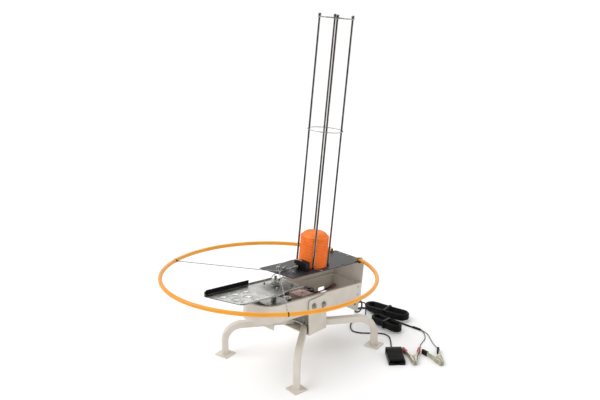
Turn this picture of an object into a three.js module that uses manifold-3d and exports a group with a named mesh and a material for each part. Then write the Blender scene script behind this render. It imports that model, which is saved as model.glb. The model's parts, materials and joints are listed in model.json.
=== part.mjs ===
// An automatic clay-target thrower: four bent legs carry a U-bracket, the thrower's steel body tilts in
// it, a motor turns the throwing arm under a magazine of clay targets, and a safety ring goes round it.
//
// Units are millimetres and +Z is up. The front, where the targets leave, faces -Y, and +X is the right
// side seen from behind. The body's own group is tilted about X: in it u is X, v runs rearwards along
// the deck and w is square to the deck, with w = 0 on the deck's top face.
import * as THREE from "three";
import { mergeVertices } from "three/addons/utils/BufferGeometryUtils.js";
import Module from "manifold-3d";

const wasm = await Module();
wasm.setup();

// ---- driving dimensions -------------------------------------------------------------------------
const GAP = 0.3; // between pieces that touch
const FRAME_SHIFT_Y = 153.2; // puts the origin under the middle of the bounding box
const TILT = THREE.MathUtils.degToRad(7.5); // the deck's slope as it stands, front raised
const DECK_Z = 350; // height of the deck's top face above the bracket's middle

const BRACKET = { halfX: 83, halfY: 48.5, bottom: 106, top: 249, sheet: 4, round: 12 };
const LEG = { side: 25, wall: 2, runZ: 122.8, bend: 65, plate: 58, plateT: 4, hole: 4 };
const FEET = [
  { name: "leg_front_left", foot: [-190, -230], start: [-30, -14], turn: 9, holeAt: [1, -1] },
  { name: "leg_front_right", foot: [190, -230], start: [30, -14], turn: -9, holeAt: [1, 1] },
  { name: "leg_rear_right", foot: [182, 220], start: [30, 14], turn: 9, holeAt: [-1, 1] },
  { name: "leg_rear_left", foot: [-182, 220], start: [-30, 14], turn: -9, holeAt: [-1, -1] },
];
const TRAY = { halfU: 76, rear: 281, front: -260, round: 70, bottom: -161, top: -93, sheet: 2.5, lip: 11 };
const TILT_BOLT = { v: -5, w: -130, r: 5 };
const LOCK_BOLT = { v: 51, w: -133, r: 5 };
const SLOT_SWEEP = THREE.MathUtils.degToRad(13);
const DECK = { halfU: 76, front: -128, frontFar: -150, rear: 285, t: 3 };
const STACK = { v: 58, r: 54, pitch: 12, height: 26, count: 10, hole: 55.3 };
const ROD = { spacing: 42.3, r: 4, length: 940, lowHoop: 520, highHoop: 926 };
const ARM = { v: -140, w: -50, t: 3, shaftR: 10 };
const GEAR = { module: 3, armTeeth: 36, motorTeeth: 12, w: -120, face: 11 };
const SPRING = { u: -54, w: -137, r: 8, wire: 1.6, front: -70, rear: 110 };
const RING = { a: 359, v: -160, front: 428, rear: 419, endU: 68, tube: 7.5, w: 8.3, slope: 0.027 };
const PUSH_ROD = { u: 16, w: 12 };
const FAR_WALL = { front: -60, top: -60 };
const GLAND = { u: [28, 52], w: -190 };
const STAY_POST_V = -131;
const BATTERY_CABLE_R = 3.5;
const PEDAL_CORD_R = 2.5;
const WIRE_R = 1.75;
const CLIP = { low: 1, high: 19, pinR: 3 };
const PEDAL = { at: [311, 189], turn: 46.5, width: 63, length: 98 };

// ---- materials ----------------------------------------------------------------------------------
const paintFor = (color, roughness, metalness) =>
  new THREE.MeshStandardMaterial({ color, roughness, metalness });
const finish = {
  cream: paintFor(0xdcd6cd, 0.5, 0.2),
  black: paintFor(0x2b2a2b, 0.55, 0.2),
  zinc: paintFor(0xb4b6b4, 0.35, 0.9),
  chrome: paintFor(0xc9c9c9, 0.2, 1),
  clay: paintFor(0xf5822f, 0.8, 0),
  orange: paintFor(0xf0a032, 0.45, 0.1),
  rubber: paintFor(0x1d1d1f, 0.85, 0),
  gearbox: paintFor(0xc9b3a8, 0.5, 0.6),
  red: paintFor(0xc2262c, 0.5, 0),
};

// ---- solids -------------------------------------------------------------------------------------
/** A geometry moved and turned: at is its place, turn its XYZ angles in radians. */
function placed(geometry, at = [0, 0, 0], turn = [0, 0, 0]) {
  const matrix = new THREE.Matrix4().makeRotationFromEuler(new THREE.Euler(...turn));
  return geometry.clone().applyMatrix4(matrix.setPosition(...at));
}

function solid(geometry) {
  const bare = geometry.clone();
  bare.deleteAttribute("normal");
  bare.deleteAttribute("uv");
  const merged = mergeVertices(bare, 1e-4);
  return new wasm.Manifold(
    new wasm.Mesh({
      numProp: 3,
      vertProperties: new Float32Array(merged.attributes.position.array),
      triVerts: new Uint32Array(merged.index.array),
    }),
  );
}

function geometryOf(made) {
  const { numProp, numVert, vertProperties, triVerts } = made.getMesh();
  const position = new Float32Array(numVert * 3);
  for (let i = 0; i < numVert; i++) {
    position.set(vertProperties.subarray(i * numProp, i * numProp + 3), i * 3);
  }
  return new THREE.BufferGeometry()
    .setAttribute("position", new THREE.BufferAttribute(position, 3))
    .setIndex(new THREE.BufferAttribute(new Uint32Array(triVerts), 1));
}

/** Joins the geometries of add, then cuts away those of cut. */
function carve(add, cut = []) {
  let made = solid(add[0]);
  for (const more of add.slice(1)) made = made.add(solid(more));
  for (const tool of cut) made = made.subtract(solid(tool));
  return geometryOf(made);
}

const X_AXIS = [0, 0, -Math.PI / 2];
const Z_AXIS = [Math.PI / 2, 0, 0];
/** A block from its low corner to its high corner. */
function block(x0, x1, y0, y1, z0, z1) {
  const box = new THREE.BoxGeometry(x1 - x0, y1 - y0, z1 - z0);
  return placed(box, [(x0 + x1) / 2, (y0 + y1) / 2, (z0 + z1) / 2]);
}
/** An upright cylinder standing from z0 to z1. */
function post(x, y, z0, z1, r, sides = 24) {
  const cylinder = new THREE.CylinderGeometry(r, r, z1 - z0, sides);
  return placed(cylinder, [x, y, (z0 + z1) / 2], Z_AXIS);
}
/** A cylinder lying along X from x0 to x1. */
function spindle(x0, x1, y, z, r, sides = 20) {
  return placed(new THREE.CylinderGeometry(r, r, x1 - x0, sides), [(x0 + x1) / 2, y, z], X_AXIS);
}
/** A cylinder lying along Y from y0 to y1. */
function barrel(x, y0, y1, z, r, sides = 24) {
  return placed(new THREE.CylinderGeometry(r, r, y1 - y0, sides), [x, (y0 + y1) / 2, z]);
}
/** A flat outline given as [x, y] pairs or a Shape, extruded upwards from z0 to z1. */
function slab(outline, z0, z1, curveSegments = 12) {
  const shape = Array.isArray(outline)
    ? new THREE.Shape(outline.map(([x, y]) => new THREE.Vector2(x, y)))
    : outline;
  const options = { depth: z1 - z0, bevelEnabled: false, curveSegments };
  return placed(new THREE.ExtrudeGeometry(shape, options), [0, 0, z0]);
}
/** A solid of revolution about Z from [radius, z] pairs that start and end on the axis. */
function turned(profile, sides = 32) {
  const points = profile.map(([r, z]) => new THREE.Vector2(r, z));
  return placed(new THREE.LatheGeometry(points, sides), [0, 0, 0], Z_AXIS);
}
/** A round bar of radius r along a curve. */
function bar(curve, r, steps, sides = 8) {
  const section = new THREE.Shape();
  for (let i = 0; i < sides; i++) {
    const angle = ((i + 0.5) / sides) * 2 * Math.PI;
    const [x, y] = [r * Math.cos(angle), r * Math.sin(angle)];
    if (i === 0) section.moveTo(x, y);
    else section.lineTo(x, y);
  }
  return new THREE.ExtrudeGeometry(section, { steps, extrudePath: curve, bevelEnabled: false });
}
const spline = (points) => new THREE.CatmullRomCurve3(points.map((p) => new THREE.Vector3(...p)));

function mesh(name, geometry, material) {
  const made = new THREE.Mesh(geometry, material);
  made.name = name;
  return made;
}

const root = new THREE.Group();
root.position.y = FRAME_SHIFT_Y;
const body = new THREE.Group();
body.position.z = DECK_Z;
body.rotation.x = -TILT;
root.add(body);

/** A point of the tilted body's group in the base's frame, as [y, z]. */
function fromBody(v, w) {
  const [c, s] = [Math.cos(TILT), Math.sin(TILT)];
  return [v * c + w * s, DECK_Z - v * s + w * c];
}
const [TILT_Y, TILT_Z] = fromBody(TILT_BOLT.v, TILT_BOLT.w);
const [LOCK_Y, LOCK_Z] = fromBody(LOCK_BOLT.v, LOCK_BOLT.w);

// ---- base ---------------------------------------------------------------------------------------
/** The side view of one upright, with the tilt bolt's hole and the lock bolt's curved slot. */
function uprightOutline() {
  const { halfY, bottom, top, round } = BRACKET;
  const outline = new THREE.Shape();
  outline.moveTo(-halfY, bottom);
  outline.lineTo(halfY, bottom);
  outline.absarc(halfY - round, top - round, round, 0, Math.PI / 2, false);
  outline.absarc(-halfY + round, top - round, round, Math.PI / 2, Math.PI, false);
  outline.closePath();
  const hole = new THREE.Path();
  hole.absarc(TILT_Y, TILT_Z, TILT_BOLT.r + GAP, 0, 2 * Math.PI, false);
  const reach = Math.hypot(LOCK_Y - TILT_Y, LOCK_Z - TILT_Z);
  const start = Math.atan2(LOCK_Z - TILT_Z, LOCK_Y - TILT_Y);
  const end = start - SLOT_SWEEP;
  const half = LOCK_BOLT.r + GAP;
  const at = (angle) => [TILT_Y + reach * Math.cos(angle), TILT_Z + reach * Math.sin(angle)];
  const slot = new THREE.Path();
  slot.absarc(...at(start), half, start, start + Math.PI, false);
  slot.absarc(TILT_Y, TILT_Z, reach - half, start, end, true);
  slot.absarc(...at(end), half, end + Math.PI, end + 2 * Math.PI, false);
  slot.absarc(TILT_Y, TILT_Z, reach + half, end, start, false);
  outline.holes.push(hole, slot);
  return outline;
}

function addBase() {
  const { halfX, halfY, bottom, sheet } = BRACKET;
  const upright = slab(uprightOutline(), 0, sheet, 8);
  const standing = [Math.PI / 2, Math.PI / 2, 0];
  const base = carve([
    block(-halfX, halfX, -halfY, halfY, bottom, bottom + sheet),
    placed(upright, [halfX - sheet, 0, 0], standing),
    placed(upright, [-halfX, 0, 0], standing),
  ]);
  root.add(mesh("base_bracket", base, finish.cream));

  const tubeTop = LEG.runZ + LEG.side / 2 + GAP;
  const clamp = carve([
    block(-62, 62, -40, 40, tubeTop, tubeTop + 4),
    ...[-34, 34].flatMap((x) => [-26, 26].map((y) => post(x, y, tubeTop + 3, tubeTop + 9, 6.5, 6))),
  ]);
  root.add(mesh("leg_clamp_plate", clamp, finish.zinc));
  for (const leg of FEET) addLeg(leg);
}

/** A square tube that runs out level from the bracket, bends down and ends welded on its foot plate. */
function addLeg({ name, foot, start, turn, holeAt }) {
  const { side, wall, runZ, bend, plate, plateT, hole } = LEG;
  const [dx, dy] = [foot[0] - start[0], foot[1] - start[1]];
  const reach = Math.hypot(dx, dy);
  const out = (s, z) => new THREE.Vector3(start[0] + (dx * s) / reach, start[1] + (dy * s) / reach, z);
  const knee = bend * (1 - Math.SQRT1_2);
  const route = new THREE.CatmullRomCurve3([
    ...[0, 0.33, 0.66].map((k) => out(k * (reach - bend), runZ)),
    out(reach - bend, runZ),
    out(reach - bend * (1 - Math.sin(Math.PI / 8)), runZ - bend * (1 - Math.cos(Math.PI / 8))),
    out(reach - knee, runZ - knee),
    out(reach - bend * (1 - Math.cos(Math.PI / 8)), runZ - bend * (1 - Math.sin(Math.PI / 8))),
    out(reach, runZ - bend),
    out(reach, (runZ - bend) / 2),
    out(reach, plateT - 0.5),
  ]);
  const square = (half) => [[-half, -half], [half, -half], [half, half], [-half, half]];
  const section = new THREE.Shape(square(side / 2).map((p) => new THREE.Vector2(...p)));
  section.holes.push(new THREE.Path(square(side / 2 - wall).map((p) => new THREE.Vector2(...p))));
  const tube = new THREE.ExtrudeGeometry(section, { steps: 18, extrudePath: route, bevelEnabled: false });
  const half = plate / 2;
  const hold = [holeAt[0] * (half - 9), holeAt[1] * (half - 9)];
  const base = carve(
    [block(-half, half, -half, half, 0, plateT)],
    [post(...hold, -1, plateT + 1, hole, 12)],
  );
  const footPlate = placed(base, [foot[0], foot[1], 0], [0, 0, THREE.MathUtils.degToRad(turn)]);
  root.add(mesh(name, carve([footPlate, tube]), finish.cream));
}

/** A hexagon-headed bolt with a washer, through one side of the tray and, if outer is false, no farther. */
function sideBolt(side, v, w, r) {
  const x = (a, b) => (side > 0 ? [a, b] : [-b, -a]);
  const { halfU, sheet } = TRAY;
  const out = BRACKET.halfX + GAP;
  return carve([
    spindle(...x(halfU - sheet - GAP - 3, out + 1), v, w, r, 16),
    spindle(...x(halfU - sheet - GAP - 7, halfU - sheet - GAP), v, w, 9, 6),
    spindle(...x(out, out + 2), v, w, 11, 20),
    spindle(...x(out + 1.5, out + 7.5), v, w, 9, 6),
  ]);
}

// ---- tilting body -------------------------------------------------------------------------------
/** The tray's plan outline, drawn in from its outer face by inset. */
function trayOutline(inset) {
  const { halfU, rear, front, round } = TRAY;
  const [u, r] = [halfU - inset, round - inset];
  const outline = new THREE.Shape();
  outline.moveTo(-u, rear - inset);
  outline.lineTo(-u, front + round);
  outline.absarc(-halfU + round, front + round, r, Math.PI, 1.5 * Math.PI, false);
  outline.absarc(halfU - round, front + round, r, 1.5 * Math.PI, 2 * Math.PI, false);
  outline.lineTo(u, rear - inset);
  outline.closePath();
  return outline;
}

function addTray() {
  const { halfU, bottom, top, sheet, lip } = TRAY;
  const holeFor = (bolt) => spindle(-halfU - 1, halfU + 1, bolt.v, bolt.w, bolt.r + GAP, 16);
  const shell = carve(
    [slab(trayOutline(0), bottom, top)],
    [
      slab(trayOutline(sheet), bottom + sheet, top - sheet),
      slab(trayOutline(lip), top - sheet - 1, top + 1),
    ],
  );
  const springAnchor = [
    block(SPRING.u - 8, SPRING.u + 8, SPRING.rear + 6, SPRING.rear + 11, bottom + 1, SPRING.w + 10),
    barrel(SPRING.u, SPRING.rear + 2.5, SPRING.rear + 7, SPRING.w, 3, 12),
  ];
  const tray = carve(
    [shell, ...springAnchor],
    [
      holeFor(TILT_BOLT),
      holeFor(LOCK_BOLT),
      block(-halfU - 1, -halfU + 22, 196, 232, bottom - 1, bottom + 17),
      block(-30, 30, 150, 250, bottom - 1, bottom + sheet + 1),
      post(0, ARM.v, bottom - 1, bottom + sheet + 1, ARM.shaftR + 1),
    ],
  );
  body.add(mesh("chassis_tray", tray, finish.cream));

  const under = bottom - GAP;
  const skirt = carve([
    block(-halfU - 3, halfU + 3, -210, -208, under - 22, under),
    block(-halfU - 3, halfU + 3, -210, -190, under - 2, under),
  ]);
  body.add(mesh("front_skirt", skirt, finish.cream));
  for (const side of [-1, 1]) {
    const hand = side > 0 ? "right" : "left";
    body.add(mesh(`tilt_bolt_${hand}`, sideBolt(side, TILT_BOLT.v, TILT_BOLT.w, TILT_BOLT.r), finish.zinc));
    body.add(mesh(`lock_bolt_${hand}`, sideBolt(side, LOCK_BOLT.v, LOCK_BOLT.w, LOCK_BOLT.r), finish.zinc));
  }
}

/** The tall rear plate with its far-side ear, the low far wall under the arm's path and the deck's flange. */
function addRearPlate() {
  const { halfU, rear, top } = TRAY;
  const face = rear + GAP;
  const under = -DECK.t - GAP;
  const plate = carve(
    [
      block(-halfU, halfU, face, face + 2.5, -160, under),
      block(-70, 70, face, face + 2.5, -217, -150),
      block(-halfU, halfU, face - 24, face + 2.5, under - 2.5, under),
      block(-halfU, -halfU + 2.5, 200, face + 2.5, top + GAP, under),
      block(-halfU, -halfU + 2.5, FAR_WALL.front, 201, top + GAP, FAR_WALL.top),
    ],
    GLAND.u.map((u) => barrel(u, face - 1, face + 4, GLAND.w, 5 + GAP, 16)),
  );
  body.add(mesh("rear_plate", plate, finish.cream));
}

function addDeck() {
  const { halfU, front, frontFar, rear, t } = DECK;
  const outline = [[-halfU, frontFar], [halfU, front], [halfU, rear], [-halfU, rear]];
  const deck = carve(
    [slab(outline, -t, 0)],
    [
      post(0, STACK.v, -t - 1, 1, STACK.hole, 48),
      post(66, 160, -t - 1, 1, 4, 12),
    ],
  );
  body.add(mesh("deck_plate", deck, finish.black));
}

/** The plate that holds the stack up and lets one target through when it slides, with its push rod. */
function addFeed() {
  const z = -DECK.t - GAP;
  const slide = carve(
    [
      block(-66, 66, -8, 128, z - 2.5, z),
      block(-9, 9, -100, 0, z - 2.5, z),
    ],
    [post(0, STACK.v, z - 4, z + 1, 47, 32), block(-47, 47, STACK.v, 140, z - 4, z + 1)],
  );
  body.add(mesh("feed_slide", slide, finish.zinc));
  const cover = carve(
    [block(5, 50, -38, -13, GAP, 33)],
    [barrel(PUSH_ROD.u, -42, -24, PUSH_ROD.w, 3.6, 16)],
  );
  body.add(mesh("feed_solenoid_cover", cover, finish.black));
  const rod = carve([
    barrel(PUSH_ROD.u, -104, -25, PUSH_ROD.w, 2.5, 12),
    barrel(PUSH_ROD.u, -104, -98, PUSH_ROD.w, 6, 16),
    barrel(PUSH_ROD.u, -70, -66, PUSH_ROD.w, 6, 16),
  ]);
  body.add(mesh("feed_push_rod", rod, finish.zinc));
}

/** Nested clay targets: each has a grooved rim, and the lot a hollow below and a domed top. */
function targets(count) {
  const { r, pitch, height } = STACK;
  const profile = [[0, height - pitch], [35, height - pitch], [39, height - pitch - 1.8], [48.4, 0.2]];
  for (let i = 0; i < count; i++) {
    const z = i * pitch;
    profile.push([r, z + 0.2], [r, z + 10.6], [r - 1.4, z + 11.6]);
  }
  const top = (count - 1) * pitch;
  profile.push([48.4, top + 12.2], [39, top + 24.2], [35, top + height], [0, top + height]);
  return turned(profile, 28);
}

function addMagazine() {
  const seat = -DECK.t + 0.4;
  const stacked = (count, first, lift) =>
    placed(targets(count), [0, STACK.v, seat + first * STACK.pitch + lift]);
  body.add(mesh("clay_target_bottom", stacked(1, 0, -GAP), finish.clay));
  body.add(mesh("clay_target_stack", stacked(STACK.count - 2, 1, 0), finish.clay));
  body.add(mesh("clay_target_top", stacked(1, STACK.count - 1, GAP), finish.clay));
  const { spacing, r, length } = ROD;
  const profile = [
    [0, GAP], [5.4, GAP], [5.4, 7], [r, 8], [r, length - 12], [6, length - 11], [6, length - 5],
    [4, length - 1], [0, length],
  ];
  for (const [su, sv, where] of [
    [-1, -1, "front_left"], [1, -1, "front_right"], [1, 1, "rear_right"], [-1, 1, "rear_left"],
  ]) {
    const rod = placed(turned(profile, 12), [su * spacing, STACK.v + sv * spacing, 0]);
    body.add(mesh(`magazine_rod_${where}`, rod, finish.chrome));
  }
  const hoopR = Math.SQRT2 * spacing + r + GAP + 1.5;
  for (const [where, w] of [["low", ROD.lowHoop], ["high", ROD.highHoop]]) {
    const hoop = placed(new THREE.TorusGeometry(hoopR, 1.5, 5, 28), [0, STACK.v, w]);
    body.add(mesh(`magazine_hoop_${where}`, hoop, finish.chrome));
  }
}

// ---- throwing arm and drive ---------------------------------------------------------------------
/** The arm plate's outline about its shaft: wide at the tip, with one edge curved in near the shaft. */
function armOutline() {
  const outline = new THREE.Shape();
  outline.moveTo(-60, 42);
  outline.lineTo(-60, -292);
  outline.lineTo(-50, -297);
  outline.lineTo(78, -248);
  outline.lineTo(86, -236);
  outline.lineTo(86, -92);
  outline.bezierCurveTo(86, -30, 66, -20, 66, 16);
  outline.lineTo(66, 84);
  outline.lineTo(-40, 84);
  outline.closePath();
  for (const [x, y] of [[29, -116], [67, -104]]) {
    const slot = new THREE.Path();
    slot.absarc(x - 6, y, 2.5, 0.5 * Math.PI, 1.5 * Math.PI, false);
    slot.absarc(x + 6, y, 2.5, -0.5 * Math.PI, 0.5 * Math.PI, false);
    outline.holes.push(slot);
  }
  return outline;
}

/** A spur gear with straight-sided teeth, low enough to run free of its mate. */
function gear(teeth, face, bore, phase) {
  const pitchR = (GEAR.module * teeth) / 2;
  const [tipR, rootR] = [pitchR + 0.75 * GEAR.module, pitchR - 1.1 * GEAR.module];
  const points = [];
  for (let i = 0; i < teeth; i++) {
    const middle = ((i + phase) / teeth) * 2 * Math.PI;
    const step = (2 * Math.PI) / teeth;
    for (const [r, share] of [[rootR, -0.3], [tipR, -0.1], [tipR, 0.1], [rootR, 0.3]]) {
      points.push([r * Math.cos(middle + share * step), r * Math.sin(middle + share * step)]);
    }
  }
  return carve([slab(points, 0, face)], [post(0, 0, -1, face + 1, bore, 24)]);
}

function addArm() {
  const { v, w, t, shaftR } = ARM;
  const at = [0, v, 0];
  const rail = [
    block(-60, -57, -292, -84, w + t - 1, w + 17),
    block(-60, -57, -85, 40, w + t - 1, w + 8),
    block(-60, 0, -20, 20, w, w + t),
  ];
  const plate = carve([slab(armOutline(), w, w + t), ...rail], [post(0, 0, w - 1, w + t + 1, shaftR + GAP)]);
  body.add(mesh("arm_plate", placed(plate, at), finish.zinc));
  const strip = block(-57 + GAP, -52.5, -288, -84, w + t + 2, w + 22);
  body.add(mesh("arm_rubber_strip", placed(strip, at), finish.rubber));

  const shaft = turned([
    [0, -157], [shaftR, -157], [shaftR, w - 14], [24, w - 14], [24, w - GAP], [shaftR, w - GAP],
    [shaftR, w + 12], [6, w + 13], [6, -12], [0, -12],
  ], 24);
  body.add(mesh("arm_shaft", placed(shaft, at), finish.zinc));
  const nut = carve(
    [post(0, 0, w + t + GAP, w + t + 3, 18, 24), post(0, 0, w + t + 2, w + 11.5, 15, 6)],
    [post(0, 0, w, w + 14, shaftR + GAP)],
  );
  body.add(mesh("arm_shaft_nut", placed(nut, at), finish.zinc));
  const wheel = gear(GEAR.armTeeth, GEAR.face, shaftR + GAP, 0);
  const gearWithPin = carve([placed(wheel, [0, 0, GEAR.w]), post(0, 40, GEAR.w - 4, GEAR.w + 1, 4, 12)]);
  body.add(mesh("arm_gear", placed(gearWithPin, at), finish.zinc));

  const floor = TRAY.bottom + TRAY.sheet + GAP;
  const housing = carve(
    [post(0, 0, floor, floor + 5, 30, 32), post(0, 0, floor + 4, GEAR.w - 8, 19, 24)],
    [post(0, 0, floor - 1, GEAR.w, shaftR + GAP)],
  );
  body.add(mesh("arm_bearing", placed(housing, at), finish.zinc));
}

function addDrive() {
  const apart = (GEAR.module * (GEAR.armTeeth + GEAR.motorTeeth)) / 2;
  const pinionV = ARM.v + apart;
  const teeth = gear(GEAR.motorTeeth, GEAR.face, 1, 0);
  const halfTooth = Math.PI / GEAR.motorTeeth;
  const pinion = carve([
    placed(teeth, [0, 0, GEAR.w], [0, 0, halfTooth]),
    post(0, 0, GEAR.w - 5, GEAR.w + GEAR.face + 2, 7, 16),
  ]);
  body.add(mesh("motor_pinion", placed(pinion, [0, pinionV, 0]), finish.zinc));

  const floor = TRAY.bottom + TRAY.sheet + GAP;
  const boxTop = GEAR.w - 5 - GAP;
  const gearbox = carve(
    [
      block(-34, 40, -96, 40, floor, boxTop - 4),
      post(0, pinionV, boxTop - 5, boxTop, 16),
      block(-26, 40, -30, 40, boxTop - 5, -102),
    ],
    [post(14, 6, -106, -90, 5, 16)],
  );
  body.add(mesh("drive_gearbox", gearbox, finish.gearbox));
  const motor = carve([
    post(-8, 62, floor, -101, 21, 28),
    post(-8, 62, -102, -97, 8, 16),
  ]);
  body.add(mesh("drive_motor", motor, finish.black));

  const coils = [];
  for (let i = 0; i <= 96; i++) {
    const angle = (i / 8) * 2 * Math.PI;
    const along = SPRING.front + (i / 96) * (SPRING.rear - SPRING.front);
    coils.push([SPRING.u + SPRING.r * Math.cos(angle), along, SPRING.w + SPRING.r * Math.sin(angle)]);
  }
  body.add(mesh("cocking_spring", bar(spline(coils), SPRING.wire, 96, 5), finish.zinc));
  const back = TRAY.rear + GAP + 2.5 + GAP;
  body.add(mesh("control_box", carve([block(-62, 6, back, back + 26, -148, -94)]), finish.black));
}

/** The power switch on the back of the rear plate: its housing and its rocker. */
function addSwitch() {
  const back = TRAY.rear + GAP + 2.5 + GAP;
  const housing = carve(
    [block(-40, -12, back, back + 9, -76, -36)],
    [block(-35, -17, back + 3, back + 10, -70, -42)],
  );
  body.add(mesh("switch_housing", housing, finish.black));
  const rocker = block(-34.4, -17.6, -2, 3, -12, 12);
  const tilt = THREE.MathUtils.degToRad(8);
  body.add(mesh("switch_rocker", placed(rocker, [0, back + 7.2, -56], [tilt, 0, 0]), finish.red));
}

// ---- safety ring --------------------------------------------------------------------------------
/** The ring's centre line: an oval round the arm, open between its two clamped ends. */
class RingCurve extends THREE.Curve {
  getPoint(t, target = new THREE.Vector3()) {
    const { a, v, front, rear, endU, w, slope } = RING;
    const open = Math.asin(endU / a);
    const angle = Math.PI / 2 - open - t * (2 * Math.PI - 2 * open);
    const along = v + (Math.sin(angle) > 0 ? rear : front) * Math.sin(angle);
    return target.set(a * Math.cos(angle), along, w + slope * (along - this.endV));
  }
  get endV() {
    return RING.v + RING.rear * Math.cos(Math.asin(RING.endU / RING.a));
  }
}

function addRing() {
  const curve = new RingCurve();
  body.add(mesh("safety_ring", bar(curve, RING.tube, 72, 10), finish.orange));
  for (const [hand, t] of [["right", 0.006], ["left", 0.994]]) {
    const { x, y } = curve.getPointAt(t);
    const saddle = carve(
      [block(x - 12, x + 12, y - 13, y + 13, GAP, RING.w + RING.tube + 4)],
      [bar(curve, RING.tube + GAP + 0.3, 72, 10)],
    );
    body.add(mesh(`ring_clamp_${hand}`, saddle, finish.zinc));
  }
  const postTop = carve([
    post(0, STAY_POST_V, GAP, 5, 7.5, 20),
    post(0, STAY_POST_V, 4, 16, 5, 12),
    post(0, STAY_POST_V, 15, 24, 8, 6),
  ]);
  body.add(mesh("stay_post", postTop, finish.zinc));
  for (const [hand, t, height] of [["right", 0.33, 19], ["left", 0.688, 4.2]]) {
    const anchor = new THREE.Vector3(0, STAY_POST_V, height);
    const top = curve.getPointAt(t);
    const inward = anchor.clone().sub(top).normalize();
    const from = top.clone().addScaledVector(inward, RING.tube + GAP + 0.6);
    const to = anchor.clone().addScaledVector(inward, -8 - GAP - 0.8);
    body.add(mesh(`ring_stay_${hand}`, bar(new THREE.LineCurve3(from, to), 1.5, 1, 8), finish.zinc));
  }
}

// ---- cords, clips and foot pedal ----------------------------------------------------------------
const [EXIT_Y, EXIT_Z] = fromBody(TRAY.rear + 20 + 2 * GAP, GLAND.w);

/** The flange and two nozzles where the battery cable and the pedal cord leave the rear plate. */
function addGland() {
  const back = TRAY.rear + GAP + 2.5 + GAP;
  const nozzles = GLAND.u.flatMap((u) => [
    barrel(u, back - 5, back + 3, GLAND.w, 5, 16),
    barrel(u, back + 2, TRAY.rear + 20 - GAP, GLAND.w, 6.5, 16),
  ]);
  const flange = block(GLAND.u[0] - 11, GLAND.u[1] + 11, back, back + 4, GLAND.w - 11, GLAND.w + 11);
  body.add(mesh("cord_gland", carve([flange, ...nozzles]), finish.black));
}

/** The outer shape of a folded hank of cord: a flat bundle with round ends, lying on the ground. */
function hank(name, x, y, turn, length, width, height) {
  const outline = new THREE.Shape();
  const [half, r] = [length / 2 - width / 2, width / 2];
  outline.absarc(-half, 0, r, Math.PI / 2, 1.5 * Math.PI, false);
  outline.absarc(half, 0, r, -Math.PI / 2, Math.PI / 2, false);
  const angle = THREE.MathUtils.degToRad(turn);
  const made = placed(slab(outline, 0, height, 8), [x, y, 0.5], [0, 0, angle]);
  root.add(mesh(name, made, finish.rubber));
}

/** A spring clip for a battery post, lying on its side: two levers that turn on one upright pin. */
function addClip(name, x, y, turn, paint) {
  const holder = new THREE.Group();
  holder.position.set(x, y, 0);
  holder.rotation.z = THREE.MathUtils.degToRad(turn);
  root.add(holder);
  const { low, high, pinR } = CLIP;
  const sideOf = (hand, points) => points.map(([px, py]) => [hand * px, py]);
  const cheek = [[14, 22], [2, 8], [-6, 4], [-6, -5], [0.5, -14], [0.5, -42], [7, -42], [13, -14], [15, 0]];
  const web = [
    [7, -42], [13, -14], [15, 0], [19, 22], [33, 58], [29.5, 59.5], [15, 22], [11.5, 0], [9.5, -14], [3.5, -42],
  ];
  const sleeve = [[36.5, 66], [27.5, 67.5], [18, 42], [27.5, 40]];
  const lever = (hand, inset) => [
    slab(sideOf(hand, cheek), low + inset, low + inset + 2),
    slab(sideOf(hand, cheek), high - inset - 2, high - inset),
    slab(sideOf(hand, web), low, high),
    slab(sideOf(hand, sleeve), low - 0.5, high + 0.5),
  ];
  const fixed = carve([...lever(1, 0), post(0, 0, low, high, pinR, 16)]);
  holder.add(mesh(`${name}_clip_fixed_lever`, fixed, paint));
  const sprung = carve(lever(-1, 2 + GAP), [post(0, 0, 0, high + 2, pinR + GAP, 16)]);
  holder.add(mesh(`${name}_clip_sprung_lever`, sprung, paint));
}

/** The foot switch: a flat base with side cheeks and a treadle hinged at its front. */
function addPedal() {
  const holder = new THREE.Group();
  holder.position.set(...PEDAL.at, 0);
  holder.rotation.z = THREE.MathUtils.degToRad(PEDAL.turn);
  root.add(holder);
  const [hw, hl] = [PEDAL.width / 2, PEDAL.length / 2];
  const base = carve([
    block(-hw, hw, -hl, hl, 0, 5),
    block(-hw, -hw + 4, -hl, hl, 4, 18),
    block(hw - 4, hw, -hl, hl, 4, 18),
    block(-hw, hw, hl - 18, hl, 4, 26),
    block(-10, 10, 8, 22, 4, 12),
  ]);
  holder.add(mesh("pedal_base", base, finish.black));
  const treadle = carve([
    placed(block(-hw + 5, hw - 5, -hl + 6, hl - 21, 0, 6), [0, 0, 20], [0.12, 0, 0]),
    spindle(-hw + 4.5, hw - 4.5, -hl + 10, 15.5, 4, 16),
  ]);
  holder.add(mesh("pedal_treadle", treadle, finish.rubber));
}

const BATTERY_CABLE = [
  [28, EXIT_Y, EXIT_Z], [28, EXIT_Y + 12, EXIT_Z - 1.6], [25, 328, 101], [14, 348, 76], [-4, 366, 45],
  [-25, 379, 20], [-46, 387, 8], [-62, 398, 4], [-69, 416, 4], [-65.5, 434, 4], [-56, 444.8, 4],
  [-44.6, 448.6, 4],
];
const BATTERY_LEAD = [[150, 441, 4], [180, 442, 4], [212, 444, 4], [228, 445.5, 4], [243, 446, 4]];
const RED_WIRE = [
  [244.6, 443.6, 4], [262, 440, 2.5], [284, 421, 2.3], [300, 399, 2.3], [309, 374, 2.3],
  [316, 350, 2.3], [324, 334, 3.5], [333, 319, 7], [342.3, 303.4, 10],
];
const BLACK_WIRE = [
  [244.6, 448, 4], [263, 446, 2.5], [286, 437, 2.3], [315, 414, 2.3], [343, 391, 2.3],
  [364, 376, 3.5], [380, 364, 7], [393.2, 352.4, 10],
];
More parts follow.
